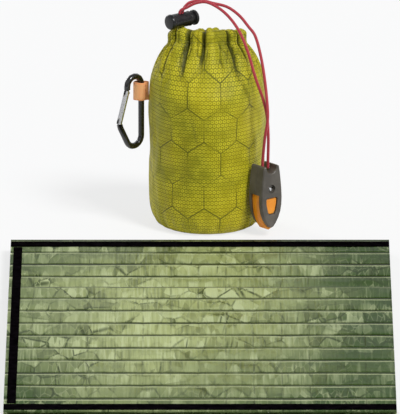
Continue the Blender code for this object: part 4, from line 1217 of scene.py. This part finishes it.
def facets(scale_along, scale_across, wander):
    """Crinkled film as small flat facets, each tilted its own way: their slope, the painted shading that
    stands for the light each catches, and their sharp edges.
    """
    bend = creases.add("TexNoise")
    creases.put(bend, "Vector", strip_cloth)
    creases.put(bend, "Scale", wander)
    pull = creases.vector("MULTIPLY", bend.outputs["Color"], (FACET_PULL, FACET_PULL, 0))
    warped = creases.vector("ADD", stretched(scale_along, scale_across), pull)
    cells = creases.add("TexVoronoi")
    border = creases.add("TexVoronoi")
    border.feature = "DISTANCE_TO_EDGE"
    for pattern in (cells, border):
        creases.put(pattern, "Scale", 1.0)
        creases.put(pattern, "Vector", warped)
    within = creases.vector("SUBTRACT", warped, cells.outputs["Position"])
    lean = creases.vector("SUBTRACT", cells.outputs["Color"], (0.5, 0.5, 0.5))
    slope = creases.vector("DOT_PRODUCT", within, creases.vector("MULTIPLY", lean, FACET_TILT))
    return slope, creases.parts(lean)["Y"], creases.span(border.outputs["Distance"], *FACET_EDGE)


from_long = crease_line(crease_in["Across"], crease_in["Long Pitch"], jog_amount)
cross_wander = creases.times(jog_amount, 1.5)
from_cross = crease_line(crease_in["Along"], crease_in["Cross Pitch"], cross_wander)
long_groove = creases.span(creases.absolute(from_long), *LONG_GROOVE)
from_lip = creases.absolute(creases.plus(from_long, LONG_LIP_AWAY))
long_lip = creases.span(from_lip, *LONG_LIP)
cross_share = creases.span(creases.noise(strip_cloth, 31, 2), 0.44, 0.58)
cross_line = creases.span(creases.absolute(from_cross), *CROSS_GROOVE)
cross_groove = creases.times(cross_line, cross_share)
coarse, coarse_shading, coarse_edge = facets(*COARSE_FACETS)
medium, medium_shading, medium_edge = facets(*MEDIUM_FACETS)
striation = creases.minus(creases.noise(stretched(*STRIATION), 1.0, 1), 0.5)
striped = creases.span(creases.noise(film_place, 9, 2), 0.35, 0.65, 1.3, 0.35)
crushed_place = creases.noise(film_place, 17, 2)
crushed = creases.span(crushed_place, 0.40, 0.60, 0.55, 1.2)

# Painted highlights and shade on the facets, by how each is tilted, with fine streaks laid over them.
facet_shading = creases.times(creases.total(creases.times(coarse_shading, 0.6), (medium_shading, 0.5)), crushed)
facet_shading = creases.total(facet_shading, (striation, striped))
# Painted light and shade lines along the facets' edges.
ridges = creases.minus(creases.times(medium_edge, 0.8), coarse_edge)
ridges = creases.times(ridges, creases.span(crushed_place, 0.44, 0.62, 0.1, 1.0))
crinkle = creases.times(creases.total(coarse, (medium, 0.45)), crushed)
height = creases.total(
    creases.times(creases.noise(film_place, 24, 1.5), 7.0),
    (crinkle, 14.0), (striation, 3.5), (long_groove, -4.0), (long_lip, 2.0), (cross_groove, -1.0),
)
# Painted shade in the creases' grooves, deeper in places.
deep_long_shade = creases.times(long_groove, creases.span(jog, 0.35, 0.6, 0.6, 1.0))
groove_shade = creases.maths("MAXIMUM", deep_long_shade, creases.times(cross_groove, 0.48))
for label, value in (
    ("Height", height), ("Groove", groove_shade), ("Lip", long_lip), ("Crinkle", ridges), ("Facet", facet_shading),
):
    creases.put(crease_out, label, value)

# The film's finish: sage metal with a painted pool of light in the middle of the open top and painted shade
# at its right end. Painted highlights and shade on the facets, the crinkles and the creases' lips and grooves
# each lighten or darken it.
LIGHT_X = -22 * MM
LIGHT_Y = -300 * MM
LIGHT_REACH_X = 108 * MM
LIGHT_REACH_Y = 260 * MM
EVEN_LIGHT = 0.55
END_SHADE_FROM = 40 * MM
END_SHADE_TO = 135 * MM
FILM_DEEP = (0.060, 0.112, 0.026)
FILM_LIT = (0.50, 0.565, 0.25)
FILM_END_SHADE = (0.050, 0.098, 0.022)
FACET_HIGHLIGHT = (0.74, 0.82, 0.47)
FACET_SHADE = (0.028, 0.050, 0.010)
CRINKLE_HIGHLIGHT = (0.74, 0.80, 0.46)
CRINKLE_SHADE = (0.035, 0.06, 0.015)
LIP_HIGHLIGHT = (0.66, 0.72, 0.42)
GROOVE_SHADE = (0.028, 0.045, 0.012)
FOLD_LINE = (6.5 * MM, 4.0 * MM)
FILM_RELIEF = 0.30 * MM

film_green, layout, shader = new_material(
    "film_sage_metallised", (0.28, 0.33, 0.15), 0.4, 0.4, Specular_IOR_Level=0.05
)
film_uv, along, across = cloth_places(layout)
folds = layout.place(creases.tree, Along=along, Across=across, Cloth=film_uv, Long_Pitch=CREASE,
                     Cross_Pitch=CROSS_CREASE).outputs
at_rest = layout.parts(layout.on_object())
from_x = layout.over(layout.minus(at_rest["X"], LIGHT_X), LIGHT_REACH_X)
from_y = layout.over(layout.minus(at_rest["Y"], LIGHT_Y), LIGHT_REACH_Y)
square_x = layout.times(from_x, from_x)
away = layout.plus(square_x, layout.times(from_y, from_y))
cloud = layout.noise(film_uv, 11, 3)
# The painted pool of light and the painted shade at the end belong to the open top of the last section; the
# others are even.
open_top = layout.maths("GREATER_THAN", along, (SECTIONS - 1) * SECTION_LONG)
# Painted light: a soft pool of light on the open top, by the place on the piece, with a random cloud tone
# laid over it.
glow = layout.minus(layout.span(away, 0.0, 1.9, 1.0, 0.0), EVEN_LIGHT)
glow = layout.times(glow, open_top)
lit = layout.plus(layout.plus(glow, EVEN_LIGHT), layout.span(cloud, 0.3, 0.7, -0.25, 0.25))
# Painted shade towards the right end of the open top.
darker = layout.times(layout.span(at_rest["X"], END_SHADE_FROM, END_SHADE_TO, 0.0, 0.55), open_top)
# The facets' painted highlights and shade are stronger where the painted pool of light is.
facet_shading_seen = layout.times(folds["Facet"], layout.span(lit, 0.0, 1.0, 0.50, 1.15))
# The pleat's far fold shows as one more long crease, a line of painted shade.
from_fold = layout.absolute(layout.minus(across, FAR_FOLD))
groove_shade = layout.maths("MAXIMUM", folds["Groove"], layout.span(from_fold, *FOLD_LINE))
# Painted light and shade laid over the film's own sage: the pool of light, the shaded end, the facets, the
# crinkles, the lips and the grooves.
film_tone = layout.coated(
    FILM_DEEP,
    (layout.span(lit, 0.0, 1.0), FILM_LIT),
    (darker, FILM_END_SHADE),
    (layout.span(facet_shading_seen, 0.02, 0.40, 0.0, 0.52), FACET_HIGHLIGHT),
    (layout.span(facet_shading_seen, -0.03, -0.40, 0.0, 0.48), FACET_SHADE),
    (layout.span(folds["Crinkle"], 0.0, 1.0, 0.0, 0.3), CRINKLE_HIGHLIGHT),
    (layout.span(folds["Crinkle"], 0.0, -1.0, 0.0, 0.85), CRINKLE_SHADE),
    (layout.times(folds["Lip"], 0.7), LIP_HIGHLIGHT),
    (layout.times(groove_shade, 0.95), GROOVE_SHADE),
)
layout.put(shader, "Base Color", film_tone)
layout.put(shader, "Roughness", layout.span(cloud, 0.3, 0.7, 0.32, 0.46))
add_bump(layout, shader, folds["Height"], FILM_RELIEF, 0.9)


def film_levels():
    """The film's middle line across the width: place from the near edge, level, and the layer it is."""
    low = FILM / 2
    mid = LAYER + FILM / 2
    top = 2 * LAYER + FILM / 2
    wall_far = FAR_FOLD + TURN / 2
    wall_near = NEAR_FOLD - TURN / 2
    line = [(0, mid, "top"), (BAND, mid, "top"), (BAND + SLOPE, top, "top"), (FAR_FOLD, top, "top")]
    line += [(wall_far, (top + mid) / 2, "turn"), (FAR_FOLD, mid, "middle"), (NEAR_FOLD, mid, "middle")]
    line += [(wall_near, (mid + low) / 2, "turn"), (NEAR_FOLD, low, "under")]
    line += [(FAR_FOLD + 2 * TURN, low, "under"), (FOOTPRINT - BAND - SLOPE, low, "bottom")]
    line += [(FOOTPRINT - BAND, mid, "bottom"), (FOOTPRINT, mid, "bottom")]
    return line


def film_rows(step):
    """Rows of the film across its width, close enough together to carry the creases, and how wide it is."""
    rows = []
    line = film_levels()
    travelled = 0.0
    for (y0, z0, _), (y1, z1, kind) in zip(line, line[1:]):
        run = math.hypot(y1 - y0, z1 - z0)
        count = max(1, round(run / step))
        for i in range(count):
            share = i / count
            rows.append((y0 + (y1 - y0) * share, z0 + (z1 - z0) * share, travelled + run * share, kind))
        travelled += run
    rows.append((line[-1][0], line[-1][1], travelled, "bottom"))
    return rows, travelled


# How far the film stands off its flat level, in the sections between and on the open top.
FAINT_RELIEF = 0.09 * MM
FLAT_BY_TAPE = 8 * MM
FREE_OF_TAPE = 22 * MM
FREE_OF_FOLD = (2 * MM, 16 * MM)
ZIGZAG = 0.12
CREASE_DIP = 0.30
CREASE_DIP_WIDE = 0.05
CROSS_DIP = 0.12
CROSS_DIP_WIDE = 0.06
BROAD_FIELD = (17, 23, 3.0)
FINE_FIELD = (46, 60, 8.0)
SHARP_FIELD = (26, 34, 5.0)
SHARPNESS = 3.2
RELIEF_BY_TAPE = 0.12
RELIEF_ADDED_FREE = 1.25
RELIEF_RAISED = 0.35
RELIEF_LOWEST = -0.08


def field(pattern, along, across):
    """A soft field over a sheet: how often it changes along and across, and its place in the noise."""
    return noise.noise(Vector((along * pattern[0], across * pattern[1], pattern[2])))


def film_relief(along, row):
    """The film's relief: bold on the open top of the last section, faint in between."""
    y, _, across, kind = row
    band = abs((across / CREASE + 0.5) % 1.0 - 0.5)
    cross = abs((along / CROSS_CREASE + 0.5) % 1.0 - 0.5)
    zigzag = abs((across / CREASE) % 2.0 - 1.0)
    broad = field(BROAD_FIELD, along, across)
    fine = field(FINE_FIELD, along, across)
    sharp = 1 - min(abs(field(SHARP_FIELD, along, across)) * SHARPNESS, 1.0)
    pillow = math.sin(math.pi * band) * (0.45 + 0.55 * broad + 0.30 * fine + 0.45 * sharp * sharp)
    dip = CREASE_DIP * max(0.0, 1 - band / CREASE_DIP_WIDE) + CROSS_DIP * max(0.0, 1 - cross / CROSS_DIP_WIDE)
    form = ZIGZAG * zigzag + pillow - dip
    if along < (SECTIONS - 1) * SECTION_LONG or kind not in ("top", "bottom"):
        return FAINT_RELIEF * max(min(form, 1.0), -1.0)
    far_band = FOOTPRINT - BAND
    free = smoothstep(BAND - FLAT_BY_TAPE, BAND + FREE_OF_TAPE, y)
    free *= smoothstep(far_band + FLAT_BY_TAPE, far_band - FREE_OF_TAPE, y)
    if kind == "bottom":
        free *= smoothstep(FAR_FOLD + FREE_OF_FOLD[0], FAR_FOLD + FREE_OF_FOLD[1], y)
    return (RELIEF_BY_TAPE + RELIEF_ADDED_FREE * free) * MM * max(form + RELIEF_RAISED, RELIEF_LOWEST)


def section_surface(number, y, level, along_x, lift):
    """A point of a section: odd ones lie face up, even ones face down."""
    base = (number - 1) * PITCH
    z = level + lift
    return Vector((along_x, BAG_NEAR_Y + y, base + (z if number % 2 else SECTION_HEIGHT - z)))


def place_along(number, x):
    """How far a place lies from the mouth along the opened bag."""
    run = X_RIGHT - x if number % 2 else x - X_LEFT
    return (number - 1) * SECTION_LONG + GAP / 2 + run


def lay_sheet(name, number, rows, columns, lift, material, thickness):
    """A sheet of a section in rows across the bag; each point is lifted a little off its row's level."""
    points = []
    uvs = []
    for row in rows:
        y, level, across, _ = row
        for x in columns:
            along = place_along(number, x)
            points.append(section_surface(number, y, level, x, lift(along, row)))
            uvs.append((along, across))
    sheet = add_object(name, points, grid_faces(len(rows), len(columns)), material, uvs)
    skin = sheet.modifiers.new("thickness", "SOLIDIFY")
    skin.thickness = thickness
    skin.offset = 0
    return sheet


FINE_STEP = 2.6 * MM
PLAIN_STEP = 6.0 * MM
TOP_COLUMNS = 112
PLAIN_COLUMNS = 42
for number in range(1, SECTIONS + 1):
    last = number == SECTIONS
    rows, film_wide = film_rows(FINE_STEP if last else PLAIN_STEP)
    columns = np.linspace(X_LEFT, X_RIGHT, TOP_COLUMNS if last else PLAIN_COLUMNS)
    name = f"bag_film_section_{number}"
    film = lay_sheet(name, number, rows, columns, film_relief, film_green, FILM_SEEN)
    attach(film, f"bag_section_{number}")
    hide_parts(f"bag_film_{number}")

# The edge tape: matte black plastic tape pressed over both long edges and the foot. It has a fine crosswise
# grain, and small wrinkles where the film under it is creased.
TAPE_BLACK = (0.0012, 0.0008, 0.0012)
TAPE_DUST = (0.0055, 0.0042, 0.0055)
TAPE_THREAD = 0.7 * MM
TAPE_RELIEF = 0.05 * MM
TAPE_COLUMNS = 96
TAPE_FIELD = (60, 60, 1.0)
TAPE_WAVE = 0.08 * MM
TAPE_PRESSED = 0.05 * MM
TAPE_SINK = 0.02 * MM
tape_black, layout, shader = new_material(
    "edge_tape_black", (0.003, 0.002, 0.003), 0.75, Specular_IOR_Level=0.0
)
tape_uv, along, across = cloth_places(layout)
tape_weave = layout.place(weave.tree, Across=along, Up=across, Thread=TAPE_THREAD)
dust = layout.noise(tape_uv, 160, 4)
wrinkle = layout.noise(tape_uv, 60, 3)
layout.put(shader, "Base Color", layout.mix(layout.span(dust, 0.35, 0.75), TAPE_BLACK, TAPE_DUST))
layout.put(shader, "Roughness", layout.span(dust, 0.3, 0.7, 0.62, 0.8))
tape_height = layout.total(tape_weave.outputs["Height"], (wrinkle, 6.0))
add_bump(layout, shader, tape_height, TAPE_RELIEF, 0.7)


def tape_wave(along, row):
    """Small wrinkles in the tape, whose edges are pressed down."""
    y, _, _, step = row
    return TAPE_WAVE * field(TAPE_FIELD, along, y) - TAPE_PRESSED * (abs(step - 3) / 3) ** 3


tape_level = LAYER + FILM + GAP + FILM / 2 - TAPE_SINK
for number in range(1, SECTIONS + 1):
    for edge, start in (("near", TAPE_INSET), ("far", FOOTPRINT - TAPE_INSET - TAPE_WIDTH)):
        places = [start + TAPE_WIDTH * step / 6 for step in range(7)]
        rows = [(y, tape_level, y, step) for step, y in enumerate(places)]
        columns = np.linspace(X_LEFT, X_RIGHT, TAPE_COLUMNS)
        name = f"bag_tape_{edge}_strip_{number}"
        tape = lay_sheet(name, number, rows, columns, tape_wave, tape_black, TAPE_THICKNESS)
        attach(tape, f"bag_section_{number}")
        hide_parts(f"bag_tape_{edge}_{number}")

# The foot tape follows the film of the last section between the two long tapes, over the pleat's upper layer
# and on beyond its far fold.
FOOT_TAPE_LIFT = 0.30 * MM
FOOT_TAPE_COLUMNS = 7


def foot_lift(along, row):
    return film_relief(along, row) + FOOT_TAPE_LIFT


near_end = TAPE_INSET + TAPE_WIDTH + 0.4 * MM
far_end = FOOTPRINT - near_end
foot_parts = (
    ("near", near_end, FAR_FOLD + 0.2 * MM, "top", ("top",)),
    ("far", FAR_FOLD + 1.6 * MM, far_end, "bottom", ("bottom", "under")),
)
foot_rows = film_rows(FINE_STEP)[0]
foot_left = X_LEFT + FOOT_TAPE_INSET
for part, start, stop, kind, kinds in foot_parts:
    columns = np.linspace(foot_left, foot_left + FOOT_TAPE_WIDTH, FOOT_TAPE_COLUMNS)
    rows = [(*row[:3], kind) for row in foot_rows if start <= row[0] <= stop and row[3] in kinds]
    name = f"bag_tape_foot_{part}_strip"
    tape = lay_sheet(name, SECTIONS, rows, columns, foot_lift, tape_black, TAPE_THICKNESS)
    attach(tape, f"bag_section_{SECTIONS}")
    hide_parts(f"bag_tape_foot_{part}")
